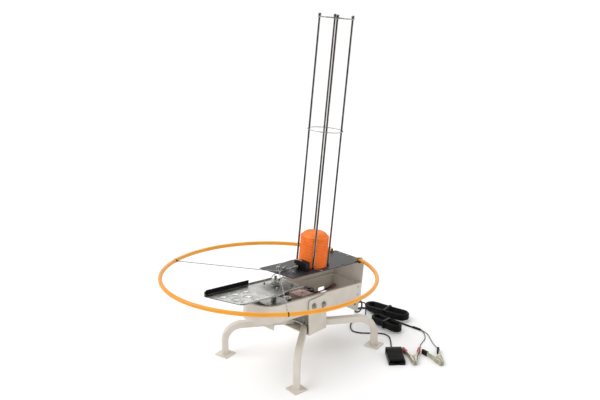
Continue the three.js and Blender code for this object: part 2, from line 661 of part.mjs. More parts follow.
const PEDAL_CORD_DROP = [
  [52, EXIT_Y, EXIT_Z], [52, EXIT_Y + 11, EXIT_Z - 1.5], [50, 322, 103], [42, 340, 74], [32, 353, 44],
  [23, 363, 20], [16.5, 373, 7], [18, 383, 3.5], [26, 388.5, 3], [37, 388.5, 3], [48.5, 387.6, 3],
];
const PEDAL_CORD = [
  [46, 376.1, 3], [34, 374.5, 3], [22, 366, 3], [10, 350, 3], [0, 335, 3], [-4, 318, 3], [-2, 302, 3],
  [8, 285, 3], [28, 263, 3],
  [50, 251, 3], [76, 257, 3], [102, 276, 3], [130, 302, 3], [157, 317, 3], [183, 314, 3], [212, 289, 3],
  [240, 257, 3], [260, 237, 6], [273.1, 225, 9],
];

function addCords() {
  root.add(mesh("battery_cable_tube", bar(spline(BATTERY_CABLE), BATTERY_CABLE_R, 18, 8), finish.rubber));
  root.add(mesh("battery_lead_tube", bar(spline(BATTERY_LEAD), BATTERY_CABLE_R, 8, 8), finish.rubber));
  root.add(mesh("red_wire_tube", bar(spline(RED_WIRE), WIRE_R, 18, 8), finish.rubber));
  root.add(mesh("black_wire_tube", bar(spline(BLACK_WIRE), WIRE_R, 18, 8), finish.rubber));
  root.add(mesh("pedal_cord_drop", bar(spline(PEDAL_CORD_DROP), PEDAL_CORD_R, 16, 8), finish.rubber));
  root.add(mesh("pedal_cord_tube", bar(spline(PEDAL_CORD), PEDAL_CORD_R, 34, 8), finish.rubber));
  hank("battery_cable_hank", 58, 463, 8, 204, 64, 35.5);
  hank("pedal_cord_hank", 125, 374, -3, 148, 49, 35);
  addClip("red", 368, 230, 44.2, finish.red);
  addClip("black", 437, 288, 59.3, finish.black);
}

addBase();
addTray();
addRearPlate();
addDeck();
addFeed();
addMagazine();
addArm();
addDrive();
addSwitch();
addRing();
addGland();
addPedal();
addCords();

export default root;
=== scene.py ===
"""Looks of an electric clay-target thrower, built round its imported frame.

Pieces are drawn in millimetres, either in the ground's axes or in the tilted body's axes (u right,
v to the rear, w square to the deck), and a place matrix brings them to the row frame in metres.
"""

import json
import logging
import math
from dataclasses import dataclass
from enum import Enum
from typing import Any, Iterable, Sequence

import bmesh
import bpy
from mathutils import Matrix, Vector
from mathutils.geometry import tessellate_polygon

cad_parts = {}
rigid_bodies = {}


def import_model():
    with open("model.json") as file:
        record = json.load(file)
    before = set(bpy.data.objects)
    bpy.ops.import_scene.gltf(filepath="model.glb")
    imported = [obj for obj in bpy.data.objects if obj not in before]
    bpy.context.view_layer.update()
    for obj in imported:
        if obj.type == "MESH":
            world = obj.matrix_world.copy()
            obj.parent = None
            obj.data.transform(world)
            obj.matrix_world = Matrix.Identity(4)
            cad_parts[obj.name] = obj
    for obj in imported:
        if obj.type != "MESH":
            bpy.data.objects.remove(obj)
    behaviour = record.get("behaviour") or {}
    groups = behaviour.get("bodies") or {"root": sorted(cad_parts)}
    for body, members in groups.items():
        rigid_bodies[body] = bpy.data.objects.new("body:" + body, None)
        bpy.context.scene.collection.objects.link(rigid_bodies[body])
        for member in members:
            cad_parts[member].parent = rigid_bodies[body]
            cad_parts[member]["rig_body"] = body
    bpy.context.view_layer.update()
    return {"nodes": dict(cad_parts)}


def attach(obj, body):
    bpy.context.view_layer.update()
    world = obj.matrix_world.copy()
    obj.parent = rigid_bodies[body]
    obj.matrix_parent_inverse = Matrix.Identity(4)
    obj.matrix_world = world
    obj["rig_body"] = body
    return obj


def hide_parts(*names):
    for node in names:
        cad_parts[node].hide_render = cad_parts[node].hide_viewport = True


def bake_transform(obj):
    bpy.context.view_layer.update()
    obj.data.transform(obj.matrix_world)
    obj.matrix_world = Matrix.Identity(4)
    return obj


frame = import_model()

LOG = logging.getLogger("thrower")
Point = Sequence[float]

MM = 0.001
SHIFT_Y = 153.2
DECK_Z = 350.0
TILT = math.radians(7.5)
BASE_PLACE = Matrix.Diagonal((MM, MM, MM, 1)) @ Matrix.Translation((0, SHIFT_Y, 0))
BODY_PLACE = (
    BASE_PLACE @ Matrix.Translation((0, 0, DECK_Z)) @ Matrix.Rotation(-TILT, 4, "X")
)
REAR_PLATE_BACK = 283.8
WEAR_MM = 9.0


# ---- node trees ----------------------------------------------------------------------------------
def add_node(
    tree: bpy.types.NodeTree,
    kind: str,
    settings: dict[str, Any] | None = None,
    inputs: dict[str | int, Any] | None = None,
) -> bpy.types.Node:
    """Adds a node to a tree with its settings and its inputs.

    Args:
        tree: The tree that gets the node.
        kind: The node's type name.
        settings: Property names and values.
        inputs: Socket names or numbers, each with a value or the output socket linked to it.

    Returns:
        The new node.
    """
    node = tree.nodes.new(kind)
    for key, value in (settings or {}).items():
        setattr(node, key, value)
    for key, value in (inputs or {}).items():
        if isinstance(value, bpy.types.NodeSocket):
            tree.links.new(value, node.inputs[key])
        else:
            node.inputs[key].default_value = value
    return node


def linear(hex_colour: str) -> tuple[float, float, float, float]:
    """Turns an sRGB hex colour into linear RGBA.

    Args:
        hex_colour: Six hex digits.

    Returns:
        Linear red, green and blue, and an alpha of 1.
    """
    parts = [int(hex_colour[i : i + 2], 16) / 255 for i in (0, 2, 4)]
    red, green, blue = (
        c / 12.92 if c <= 0.04045 else ((c + 0.055) / 1.055) ** 2.4 for c in parts
    )
    return red, green, blue, 1.0


def noise(
    tree: bpy.types.NodeTree, place: bpy.types.NodeSocket, size_mm: float, detail: float
) -> bpy.types.NodeSocket:
    """Adds a noise pattern and returns its value.

    Args:
        tree: The tree that gets it.
        place: The coordinates it is drawn on, in metres.
        size_mm: The size of its patches.
        detail: How many finer layers it has.
    """
    inputs = {"Vector": place, "Scale": 1000 / size_mm, "Detail": detail}
    return add_node(tree, "ShaderNodeTexNoise", inputs=inputs).outputs[0]


def spread(
    tree: bpy.types.NodeTree, value: bpy.types.NodeSocket, *ends: float
) -> bpy.types.NodeSocket:
    """Adds a map from one range of values to another and returns its result.

    Args:
        tree: The tree that gets it.
        value: The value it maps.
        *ends: The first range's ends, then the second's if they aren't 0 and 1.
    """
    inputs = {"Value": value, **{i + 1: end for i, end in enumerate(ends)}}
    return add_node(tree, "ShaderNodeMapRange", inputs=inputs).outputs[0]


def mixed(
    tree: bpy.types.NodeTree, share: bpy.types.NodeSocket, first: Any, second: Any
) -> bpy.types.NodeSocket:
    """Adds a mix of two colours and returns its result.

    Args:
        tree: The tree that gets it.
        share: The share of the second colour.
        first: The first colour, or a socket that gives it.
        second: The second colour.
    """
    inputs = {0: share, 6: first, 7: second}
    return add_node(tree, "ShaderNodeMix", {"data_type": "RGBA"}, inputs).outputs[2]


class Grain(Enum):
    """How a surface's fine texture runs."""

    ROUND = (1.0, 1.0, 1.0)
    ALONG_Y = (1.0, 0.06, 1.0)


@dataclass(frozen=True)
class Finish:
    """A real surface: two close colours, its gloss, and its patterns' sizes in millimetres."""

    name: str
    slot: str
    colour: str
    shade: str
    roughness: tuple[float, float]
    metallic: float = 0.0
    ior: float = 1.5
    mottle_mm: float = 60.0
    grain_mm: float = 1.5
    bump_mm: float = 0.05
    wear: str | None = None
    wear_share: float = 0.0
    grain: Grain = Grain.ROUND
    coat: float = 0.0
    specular: float = 0.5

    def material(self) -> bpy.types.Material:
        """Returns this finish's material, building its nodes the first time."""
        made = bpy.data.materials.get(self.name)
        if made:
            return made
        made = bpy.data.materials.new(self.name)
        made.use_nodes = True
        self._build(made.node_tree)
        return made

    def _build(self, tree: bpy.types.NodeTree) -> None:
        """Builds mottled colour, wear, roughness and bump on object coordinates.

        Args:
            tree: The material's own tree.
        """
        tree.nodes.clear()
        place = add_node(tree, "ShaderNodeTexCoord").outputs["Object"]
        cloud = noise(tree, place, self.mottle_mm, 4.0)
        stretched = add_node(
            tree, "ShaderNodeMapping", inputs={"Vector": place, "Scale": self.grain.value}
        )
        fine = noise(tree, stretched.outputs[0], self.grain_mm, 2.0)
        share = spread(tree, cloud, 0.35, 0.65)
        colour = mixed(tree, share, linear(self.colour), linear(self.shade))
        if self.wear:
            marks = noise(tree, place, WEAR_MM, 6.0)
            least, most = 0.72 - 0.16 * self.wear_share, min(1.0, 0.4 + self.wear_share)
            worn = spread(tree, marks, least, 0.76, 0.0, most)
            colour = mixed(tree, worn, colour, linear(self.wear))
        gloss = spread(tree, fine, 0.3, 0.7, *self.roughness)
        bump = add_node(
            tree,
            "ShaderNodeBump",
            inputs={
                "Strength": 0.6,
                "Distance": self.bump_mm * MM,
                "Height": fine,
            },
        )
        surface = add_node(
            tree,
            "ShaderNodeBsdfPrincipled",
            inputs={
                "Base Color": colour,
                "Roughness": gloss,
                "Metallic": self.metallic,
                "IOR": self.ior,
                "Normal": bump.outputs[0],
                "Coat Weight": self.coat,
                "Specular IOR Level": self.specular,
            },
        )
        add_node(
            tree, "ShaderNodeOutputMaterial", inputs={"Surface": surface.outputs[0]}
        )


class Finishes:
    """The finishes of the machine's pieces, each named for the real material."""

    # Polyester powder coat on steel sheet: satin, a faint orange peel, and grey scuffs.
    CREAM = Finish(
        "cream_powder_coat", "cream_paint", "D6CFC4", "CDC5BA", (0.38, 0.5),
        grain_mm=2.2, bump_mm=0.06, wear="B7AFA4", wear_share=0.2,
    )
    # Fine-textured powder coat: small grit breaks the gloss, dust greys it in patches.
    DECK = Finish(
        "black_texture_coat", "black_paint", "1C1B1D", "292829", (0.36, 0.52),
        grain_mm=1.3, bump_mm=0.09, mottle_mm=90,
    )
    MOTOR = Finish(
        "black_stoved_enamel", "black_paint", "121214", "1C1C1E", (0.25, 0.36),
        mottle_mm=30, bump_mm=0.03,
    )
    # Bright zinc plate over rolled sheet: cloudy grey with rolling lines along the sheet.
    ZINC = Finish(
        "bright_zinc_plate", "zinc_steel", "C9C9C5", "ABABA7", (0.24, 0.4),
        metallic=1.0, mottle_mm=38, grain_mm=1.1, bump_mm=0.03, grain=Grain.ALONG_Y,
    )
    BOLT = Finish(
        "zinc_plated_fastener", "zinc_steel", "C6C7C2", "9B9C97", (0.34, 0.52),
        metallic=1.0, mottle_mm=7, grain_mm=0.8, bump_mm=0.03,
    )
    # Hard chrome over ground bar: mirror-like, with the grinding lines round it.
    CHROME = Finish(
        "chrome_plated_bar", "chrome_rod", "A8A5A1", "8F8C88", (0.08, 0.16),
        metallic=1.0, mottle_mm=80, grain_mm=0.7, bump_mm=0.01,
    )
    WIRE = Finish(
        "zinc_plated_wire", "chrome_rod", "B9BAB8", "8F908D", (0.3, 0.45),
        metallic=0.9, mottle_mm=12, grain_mm=0.9, bump_mm=0.02,
    )
    # Fluorescent paint sprayed on pressed pitch and limestone: matt, powdery, uneven.
    CLAY = Finish(
        "sprayed_clay_target", "clay", "F8822B", "EE7723", (0.62, 0.8),
        mottle_mm=30, grain_mm=0.9, bump_mm=0.05, wear="DE6416", wear_share=0.1,
    )
    # Gloss powder coat on bent tube.
    ORANGE = Finish(
        "orange_powder_coat", "orange_paint", "ECA024", "E6971C", (0.3, 0.42),
        mottle_mm=70, grain_mm=2.0, bump_mm=0.05, coat=0.15,
    )
    RUBBER = Finish(
        "moulded_black_rubber", "black_rubber", "060607", "0C0C0D", (0.55, 0.72),
        mottle_mm=25, grain_mm=0.9, bump_mm=0.08, specular=0.2,
    )
    RUBBER_WORN = Finish(
        "scuffed_black_rubber", "black_rubber", "202021", "2B2B2C", (0.55, 0.7),
        mottle_mm=16, grain_mm=0.9, bump_mm=0.1, specular=0.25,
    )
    JACKET = Finish(
        "soft_pvc_jacket", "cable_jacket", "050506", "0B0B0C", (0.38, 0.52),
        mottle_mm=40, grain_mm=1.4, bump_mm=0.04, specular=0.22,
    )
    GREY_WIRE = Finish(
        "thin_pvc_wire", "cable_jacket", "5B5955", "6C6A66", (0.4, 0.5),
        mottle_mm=20, bump_mm=0.02,
    )
    # Sand-cast aluminium with a machined face and a warm chromate film.
    CAST = Finish(
        "chromated_cast_alloy", "gearbox_alloy", "CDB3A8", "BCA79E", (0.42, 0.6),
        metallic=0.55, mottle_mm=14, grain_mm=1.2, bump_mm=0.1,
    )
    ABS = Finish(
        "moulded_black_abs", "black_plastic", "09090A", "101011", (0.38, 0.5),
        mottle_mm=18, grain_mm=1.0, bump_mm=0.06, specular=0.25,
    )
    RED_VINYL = Finish(
        "dipped_red_vinyl", "red_plastic", "B3302F", "9C2426", (0.32, 0.45),
        mottle_mm=10, bump_mm=0.05,
    )
    # Yellow-passivated zinc on pressed clip levers.
    PASSIVATED = Finish(
        "yellow_zinc_clip", "zinc_steel", "CBC9B6", "ABA895", (0.36, 0.54),
        metallic=0.85, mottle_mm=9, grain_mm=0.9, bump_mm=0.04,
    )
    COPPER = Finish(
        "bare_copper_strand", "zinc_steel", "B87350", "9A5C3C", (0.3, 0.45),
        metallic=1.0, mottle_mm=5,
    )


# ---- drawing -------------------------------------------------------------------------------------
class Shape:
    """A mesh under construction, in millimetres."""

    def __init__(self) -> None:
        """Starts an empty shape."""
        self.bm = bmesh.new()

    def box(self, low: Point, high: Point, turn: Matrix | None = None) -> "Shape":
        """Adds a block between two corners.

        Args:
            low: Its low corner.
            high: Its high corner.
            turn: A matrix applied to the block, if any.

        Returns:
            This shape.
        """
        low_v, high_v = Vector(low), Vector(high)
        place = Matrix.Translation((low_v + high_v) / 2) @ Matrix.Diagonal(
            (*(high_v - low_v), 1)
        )
        bmesh.ops.create_cube(self.bm, size=1, matrix=(turn or Matrix()) @ place)
        return self

    def rod(
        self, start: Point, end: Point, r: float, r_end: float | None = None,
        sides: int = 24,
    ) -> "Shape":
        """Adds a cylinder or cone between two points.

        Args:
            start: The middle of its first end.
            end: The middle of its other end.
            r: Its radius at the start.
            r_end: Its radius at the end, if it tapers.
            sides: The number of its sides.

        Returns:
            This shape.
        """
        a, b = Vector(start), Vector(end)
        turn = (b - a).to_track_quat("Z", "Y").to_matrix().to_4x4()
        bmesh.ops.create_cone(
            self.bm, cap_ends=True, segments=sides, radius1=r,
            radius2=r if r_end is None else r_end, depth=(b - a).length,
            matrix=Matrix.Translation((a + b) / 2) @ turn,
        )
        return self

    def slab(
        self, outline: Sequence[Point], low: float, high: float,
        holes: Sequence[Sequence[Point]] = (), turn: Matrix | None = None,
    ) -> "Shape":
        """Adds a flat outline with holes, extruded upwards.

        Args:
            outline: Its corners in order.
            low: The height of its underside.
            high: The height of its top.
            holes: The corners of each hole.
            turn: A matrix applied to the slab, if any.

        Returns:
            This shape.
        """
        place = turn or Matrix()
        loops = [list(outline), *[list(h) for h in holes]]
        flat = [Vector((x, y, 0)) for loop in loops for x, y in loop]
        sheets = []
        for z in (low, high):
            sheets.append(
                [self.bm.verts.new(place @ Vector((p.x, p.y, z))) for p in flat]
            )
        triangles = tessellate_polygon(
            [[Vector((x, y, 0)) for x, y in loop] for loop in loops]
        )
        made = []
        for t in triangles:
            made.append(self.bm.faces.new([sheets[0][i] for i in t]))
            made.append(self.bm.faces.new([sheets[1][i] for i in reversed(t)]))
        start = 0
        for loop in loops:
            count = len(loop)
            for i in range(count):
                a, b = start + i, start + (i + 1) % count
                made.append(
                    self.bm.faces.new(
                        [sheets[0][a], sheets[0][b], sheets[1][b], sheets[1][a]]
                    )
                )
            start += count
        bmesh.ops.recalc_face_normals(self.bm, faces=made)
        return self

    def lathe(
        self, profile: Sequence[Point], place: Matrix | None = None, sides: int = 32
    ) -> "Shape":
        """Adds a solid of revolution about Z.

        Args:
            profile: Radius and height pairs that start and end on the axis.
            place: A matrix applied to it, if any.
            sides: The number of its sides.

        Returns:
            This shape.
        """
        where = place or Matrix()
        rings = []
        for r, z in profile:
            if r < 1e-6:
                rings.append([self.bm.verts.new(where @ Vector((0, 0, z)))])
                continue
            angles = [2 * math.pi * i / sides for i in range(sides)]
            rings.append(
                [
                    self.bm.verts.new(
                        where @ Vector((r * math.cos(a), r * math.sin(a), z))
                    )
                    for a in angles
                ]
            )
        made = []
        for low, high in zip(rings, rings[1:]):
            for i in range(sides):
                j = (i + 1) % sides
                if len(low) == 1:
                    corners = [low[0], high[j], high[i]]
                elif len(high) == 1:
                    corners = [low[i], low[j], high[0]]
                else:
                    corners = [low[i], low[j], high[j], high[i]]
                made.append(self.bm.faces.new(corners))
        bmesh.ops.recalc_face_normals(self.bm, faces=made)
        return self

    def add(self, mesh: bpy.types.Mesh) -> "Shape":
        """Adds a finished mesh, and returns this shape."""
        self.bm.from_mesh(mesh)
        return self

    def mesh(self, name: str) -> bpy.types.Mesh:
        """Returns the mesh drawn so far, under a name."""
        made = bpy.data.meshes.new(name)
        self.bm.to_mesh(made)
        self.bm.free()
        return made


def circle(x: float, y: float, r: float, sides: int = 24) -> list[tuple[float, float]]:
    """Returns the corners of a circle.

    Args:
        x: Its middle's x.
        y: Its middle's y.
        r: Its radius.
        sides: The number of corners.
    """
    return [
        (
            x + r * math.cos(2 * math.pi * i / sides),
            y + r * math.sin(2 * math.pi * i / sides),
        )
        for i in range(sides)
    ]


def smoothed(points: Sequence[Point], step: float) -> list[Vector]:
    """Runs a centripetal spline through points.

    Args:
        points: The points it passes, in order.
        step: The spacing of the returned points.

    Returns:
        Points along the spline, the first and the last among them.
    """
    given = [Vector(p) for p in points]
    ends = [2 * given[0] - given[1], *given, 2 * given[-1] - given[-2]]
    line = [given[0]]
    for p0, p1, p2, p3 in zip(ends, ends[1:], ends[2:], ends[3:]):
        t1 = max((p1 - p0).length, 1e-6) ** 0.5
        t2 = t1 + max((p2 - p1).length, 1e-6) ** 0.5
        t3 = t2 + max((p3 - p2).length, 1e-6) ** 0.5
        count = max(1, round((p2 - p1).length / step))
        for i in range(1, count + 1):
            t = t1 + (t2 - t1) * i / count
            a1 = p0 * ((t1 - t) / t1) + p1 * (t / t1)
            a2 = p1 * ((t2 - t) / (t2 - t1)) + p2 * ((t - t1) / (t2 - t1))
            a3 = p2 * ((t3 - t) / (t3 - t2)) + p3 * ((t - t2) / (t3 - t2))
            b1 = a1 * ((t2 - t) / t2) + a2 * (t / t2)
            b2 = a2 * ((t3 - t) / (t3 - t1)) + a3 * ((t - t1) / (t3 - t1))
            line.append(b1 * ((t2 - t) / (t2 - t1)) + b2 * ((t - t1) / (t2 - t1)))
    return line


def seed_line(points: Iterable[Point], closed: bool = False) -> bpy.types.Mesh:
    """Returns a mesh of edges through points, which a node tree can follow.

    Args:
        points: The points in order.
        closed: True if the last point joins the first.
    """
    corners = [tuple(p) for p in points]
    edges = [(i, i + 1) for i in range(len(corners) - 1)]
    if closed:
        edges.append((len(corners) - 1, 0))
    made = bpy.data.meshes.new("seed")
    made.from_pydata(corners, edges, [])
    return made


# ---- geometry node trees -------------------------------------------------------------------------
class Grower:
    """A geometry node tree with named inputs, run on a seed mesh and turned into a plain mesh."""

    def __init__(self, name: str, inputs: dict[str, Any]) -> None:
        """Starts the tree with its inputs.

        Args:
            name: The tree's name.
            inputs: Input names, each with a default: a whole number, a number or three numbers.
        """
        self.tree = bpy.data.node_groups.new(name, "GeometryNodeTree")
        face = self.tree.interface
        face.new_socket("Geometry", in_out="OUTPUT", socket_type="NodeSocketGeometry")
        face.new_socket("Seed", in_out="INPUT", socket_type="NodeSocketGeometry")
        for key, value in inputs.items():
            kind = {int: "NodeSocketInt", float: "NodeSocketFloat"}.get(
                type(value), "NodeSocketVector"
            )
            socket = face.new_socket(key, in_out="INPUT", socket_type=kind)
            socket.default_value = value
        face.new_socket("Finish", in_out="INPUT", socket_type="NodeSocketMaterial")
        self.start = add_node(self.tree, "NodeGroupInput").outputs

    def add(self, kind: str, settings: dict | None = None, inputs: dict | None = None) -> Any:
        """Adds a node and returns its outputs."""
        return add_node(self.tree, kind, settings, inputs).outputs

    def times(self, value: Any, factor: float) -> bpy.types.NodeSocket:
        """Adds a multiplication and returns its result."""
        return self.add("ShaderNodeMath", {"operation": "MULTIPLY"}, {0: value, 1: factor})[0]

    def close(self, geometry: bpy.types.NodeSocket) -> None:
        """Ends the tree in Realize Instances and Set Material.

        Args:
            geometry: The grown geometry.
        """
        real = self.add("GeometryNodeRealizeInstances", inputs={"Geometry": geometry})
        dressed = self.add(
            "GeometryNodeSetMaterial",
            inputs={"Geometry": real[0], "Material": self.start["Finish"]},
        )
        add_node(self.tree, "NodeGroupOutput", inputs={"Geometry": dressed[0]})

    def grow(self, seed: bpy.types.Mesh, finish: Finish, **values: Any) -> bpy.types.Mesh:
        """Runs the tree on a seed mesh.

        Args:
            seed: The mesh that the tree follows or repeats.
            finish: The finish set on the result.
            **values: Input values, with _ for each space in a name.

        Returns:
            The plain mesh.
        """
        holder = bpy.data.objects.new("grower", seed)
        bpy.context.scene.collection.objects.link(holder)
        modifier = holder.modifiers.new("grow", "NODES")
        modifier.node_group = self.tree
        sockets = {
            s.name: s.identifier
            for s in self.tree.interface.items_tree
            if s.in_out == "INPUT"
        }
        for key, value in values.items():
            modifier[sockets[key.replace("_", " ")]] = value
        modifier[sockets["Finish"]] = finish.material()
        graph = bpy.context.evaluated_depsgraph_get()
        made = bpy.data.meshes.new_from_object(
            holder.evaluated_get(graph), depsgraph=graph
        )
        bpy.data.objects.remove(holder)
        bpy.data.meshes.remove(seed)
        return made


def tube_tree() -> Grower:
    """Returns the tree that sweeps a round section along a line of edges."""
    g = Grower("round_bar_on_path", {"Radius": 1.0, "Sides": 12})
    line = g.add("GeometryNodeMeshToCurve", inputs={"Mesh": g.start["Seed"]})
    section = g.add(
        "GeometryNodeCurvePrimitiveCircle",
        inputs={"Resolution": g.start["Sides"], "Radius": g.start["Radius"]},
    )
    swept = g.add(
        "GeometryNodeCurveToMesh",
        inputs={"Curve": line[0], "Profile Curve": section[0], "Fill Caps": True},
    )
    g.close(swept[0])
    return g


def box_tube_tree() -> Grower:
    """Returns the tree that sweeps a square section with rounded corners along a line of edges."""
    g = Grower("square_tube_on_path", {"Side": 25.0, "Corner": 2.5})
    line = g.add("GeometryNodeMeshToCurve", inputs={"Mesh": g.start["Seed"]})
    section = g.add(
        "GeometryNodeCurvePrimitiveQuadrilateral",
        inputs={"Width": g.start["Side"], "Height": g.start["Side"]},
    )
    rounded = g.add(
        "GeometryNodeFilletCurve",
        {"mode": "POLY"},
        {"Curve": section[0], "Count": 4, "Radius": g.start["Corner"]},
    )
    swept = g.add(
        "GeometryNodeCurveToMesh",
        inputs={"Curve": line[0], "Profile Curve": rounded[0], "Fill Caps": True},
    )
    g.close(swept[0])
    return g


def row_tree() -> Grower:
    """Returns the tree that repeats the seed along a straight step, each copy turned a little."""
    g = Grower(
        "copies_in_a_row",
        {"Count": 2, "Step": (0.0, 0.0, 1.0), "Swing": 0.0, "Shift": 0.0, "Draw": 1},
    )
    line = g.add(
        "GeometryNodeMeshLine",
        {"mode": "OFFSET"},
        {"Count": g.start["Count"], "Offset": g.start["Step"]},
    )
    low, high = (
        g.add("ShaderNodeCombineXYZ", inputs={2: g.times(g.start["Swing"], sign)})
        for sign in (-1.0, 1.0)
    )
    turn = g.add(
        "FunctionNodeRandomValue",
        {"data_type": "FLOAT_VECTOR"},
        {0: low[0], 1: high[0], "Seed": g.start["Draw"]},
    )
    copies = g.add(
        "GeometryNodeInstanceOnPoints",
        inputs={"Points": line[0], "Instance": g.start["Seed"], "Rotation": turn[0]},
    )
    aside = g.add(
        "FunctionNodeRandomValue",
        {"data_type": "FLOAT_VECTOR"},
        {0: (-1.0, -1.0, 0.0), 1: (1.0, 1.0, 0.0), "Seed": g.start["Draw"]},
    )
    moved = g.add(
        "GeometryNodeTranslateInstances",
        inputs={
            "Instances": copies[0],
            "Translation": g.add(
                "ShaderNodeVectorMath",
                {"operation": "SCALE"},
                {0: aside[0], "Scale": g.start["Shift"]},
            )[0],
        },
    )
    g.close(moved[0])
    return g


def stud_tree() -> Grower:
    """Returns the tree that puts a washer and a chamfered head on each point of the seed."""
    g = Grower(
        "fasteners_on_points",
        {
            "Head Radius": 4.0, "Head Height": 3.0, "Sides": 6,
            "Washer Radius": 5.0, "Washer Height": 0.8, "Turn": (0.0, 0.0, 0.0),
        },
    )
    half = g.times(g.start["Head Height"], 0.5)
    parts = []
    for sides, radius, height in (
        (24, g.start["Washer Radius"], g.start["Washer Height"]),
        (g.start["Sides"], g.start["Head Radius"], g.start["Head Height"]),
    ):
        drum = g.add(
            "GeometryNodeMeshCylinder",
            inputs={"Vertices": sides, "Radius": radius, "Depth": height},
        )
        parts.append(drum["Mesh"])
    crown = g.add(
        "GeometryNodeMeshCone",
        inputs={
            "Vertices": 20,
            "Radius Top": g.times(g.start["Head Radius"], 0.5),
            "Radius Bottom": g.times(g.start["Head Radius"], 0.8),
            "Depth": half,
        },
    )
    parts.append(crown["Mesh"])
    lifts = (None, half, g.start["Head Height"])
    joined = g.tree.nodes.new("GeometryNodeJoinGeometry")
    for part, lift in zip(parts, lifts):
        if lift is not None:
            up = g.add("ShaderNodeCombineXYZ", inputs={2: lift})
            part = g.add(
                "GeometryNodeTransform", inputs={"Geometry": part, "Translation": up[0]}
            )[0]
        g.tree.links.new(part, joined.inputs[0])
    copies = g.add(
        "GeometryNodeInstanceOnPoints",
        inputs={
            "Points": g.start["Seed"],
            "Instance": joined.outputs[0],
            "Rotation": g.start["Turn"],
        },
    )
    g.close(copies[0])
    return g


def bead_tree() -> Grower:
    """Returns the tree that lays a weld bead of overlapping ripples along a line of edges."""
    g = Grower("weld_bead_on_path", {"Radius": 2.0, "Step": 1.6, "Draw": 1})
    line = g.add("GeometryNodeMeshToCurve", inputs={"Mesh": g.start["Seed"]})
    even = g.add(
        "GeometryNodeResampleCurve",
        {"mode": "LENGTH"},
        {"Curve": line[0], "Length": g.start["Step"]},
    )
    ball = g.add(
        "GeometryNodeMeshIcoSphere",
        inputs={"Radius": g.start["Radius"], "Subdivisions": 2},
    )
    size = g.add(
        "FunctionNodeRandomValue",
        {"data_type": "FLOAT"},
        {2: 0.82, 3: 1.08, "Seed": g.start["Draw"]},
    )
    copies = g.add(
        "GeometryNodeInstanceOnPoints",
        inputs={"Points": even[0], "Instance": ball[0], "Scale": size[1]},
    )
    g.close(copies[0])
    return g


def dome_tree() -> Grower:
    """Returns the tree that presses a low dome up from a sheet at each point of the seed."""
    g = Grower("pressed_domes_on_points", {"Radius": 18.0, "Shape": (1.0, 1.0, 0.15)})
    ball = g.add(
        "GeometryNodeMeshUVSphere",
        inputs={"Segments": 32, "Rings": 16, "Radius": g.start["Radius"]},
    )
    flat = g.add(
        "GeometryNodeTransform",
        inputs={"Geometry": ball["Mesh"], "Scale": g.start["Shape"]},
    )
    copies = g.add(
        "GeometryNodeInstanceOnPoints",
        inputs={"Points": g.start["Seed"], "Instance": flat[0]},
    )
    g.close(copies[0])
    return g


def coil_tree() -> Grower:
    """Returns the tree that winds a wire spring along Z from the seed's first point."""
    g = Grower(
        "wound_spring", {"Turns": 10.0, "Coil Radius": 8.0, "Wire": 1.0, "Length": 50.0}
    )
    spiral = g.add(
        "GeometryNodeCurveSpiral",
        inputs={
            "Resolution": 18, "Rotations": g.start["Turns"],
            "Start Radius": g.start["Coil Radius"],
            "End Radius": g.start["Coil Radius"], "Height": g.start["Length"],
        },
    )
    section = g.add(
        "GeometryNodeCurvePrimitiveCircle",
        inputs={"Resolution": 8, "Radius": g.start["Wire"]},
    )
    wire = g.add(
        "GeometryNodeCurveToMesh",
        inputs={"Curve": spiral[0], "Profile Curve": section[0], "Fill Caps": True},
    )
    copies = g.add(
        "GeometryNodeInstanceOnPoints",
        inputs={"Points": g.start["Seed"], "Instance": wire[0]},
    )
    g.close(copies[0])
    return g


class Trees:
    """The node trees, each built once."""

    TUBE = tube_tree()
    BOX_TUBE = box_tube_tree()
    ROW = row_tree()
    STUD = stud_tree()
    BEAD = bead_tree()
    DOME = dome_tree()
    COIL = coil_tree()


# ---- pieces --------------------------------------------------------------------------------------
def points_mesh(points: Iterable[Point]) -> bpy.types.Mesh:
    """Returns a mesh of loose points."""
    made = bpy.data.meshes.new("points")
    made.from_pydata([tuple(p) for p in points], [], [])
    return made


def piece(
    name: str, mesh: bpy.types.Mesh, place: Matrix, finish: Finish, body: str | None,
    bevel: float = 0.0, instead_of: Sequence[str] = (), smooth: float = 40.0,
) -> bpy.types.Object:
    """Shows a mesh as a piece of the machine.

    Args:
        name: The piece's name.
        mesh: Its mesh, in millimetres.
        place: The matrix to the row frame.
        finish: Its finish.
        body: The body it rides on, or None for a piece left on no body, such as a cord between two.
        bevel: The width of its rounded edges, in millimetres.
        instead_of: The frame's nodes that it stands for.
        smooth: Edges sharper than this many degrees stay sharp.

    Returns:
        The piece's object.
    """
    mesh.transform(place)
    mesh.name = name
    mesh.materials.clear()
    mesh.materials.append(finish.material())
    mesh.shade_smooth()
    mesh.set_sharp_from_angle(angle=math.radians(smooth))
    made = bpy.data.objects.new(name, mesh)
    bpy.context.scene.collection.objects.link(made)
    if bevel:
        rounding = made.modifiers.new("rounded_edges", "BEVEL")
        rounding.width = bevel * MM
        rounding.segments = 2
        rounding.limit_method = "ANGLE"
        rounding.angle_limit = math.radians(35)
        rounding.harden_normals = True
    if instead_of:
        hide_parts(*instead_of)
    if body:
        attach(made, body)
    LOG.info("piece %s: %d faces", name, len(mesh.polygons))
    return made


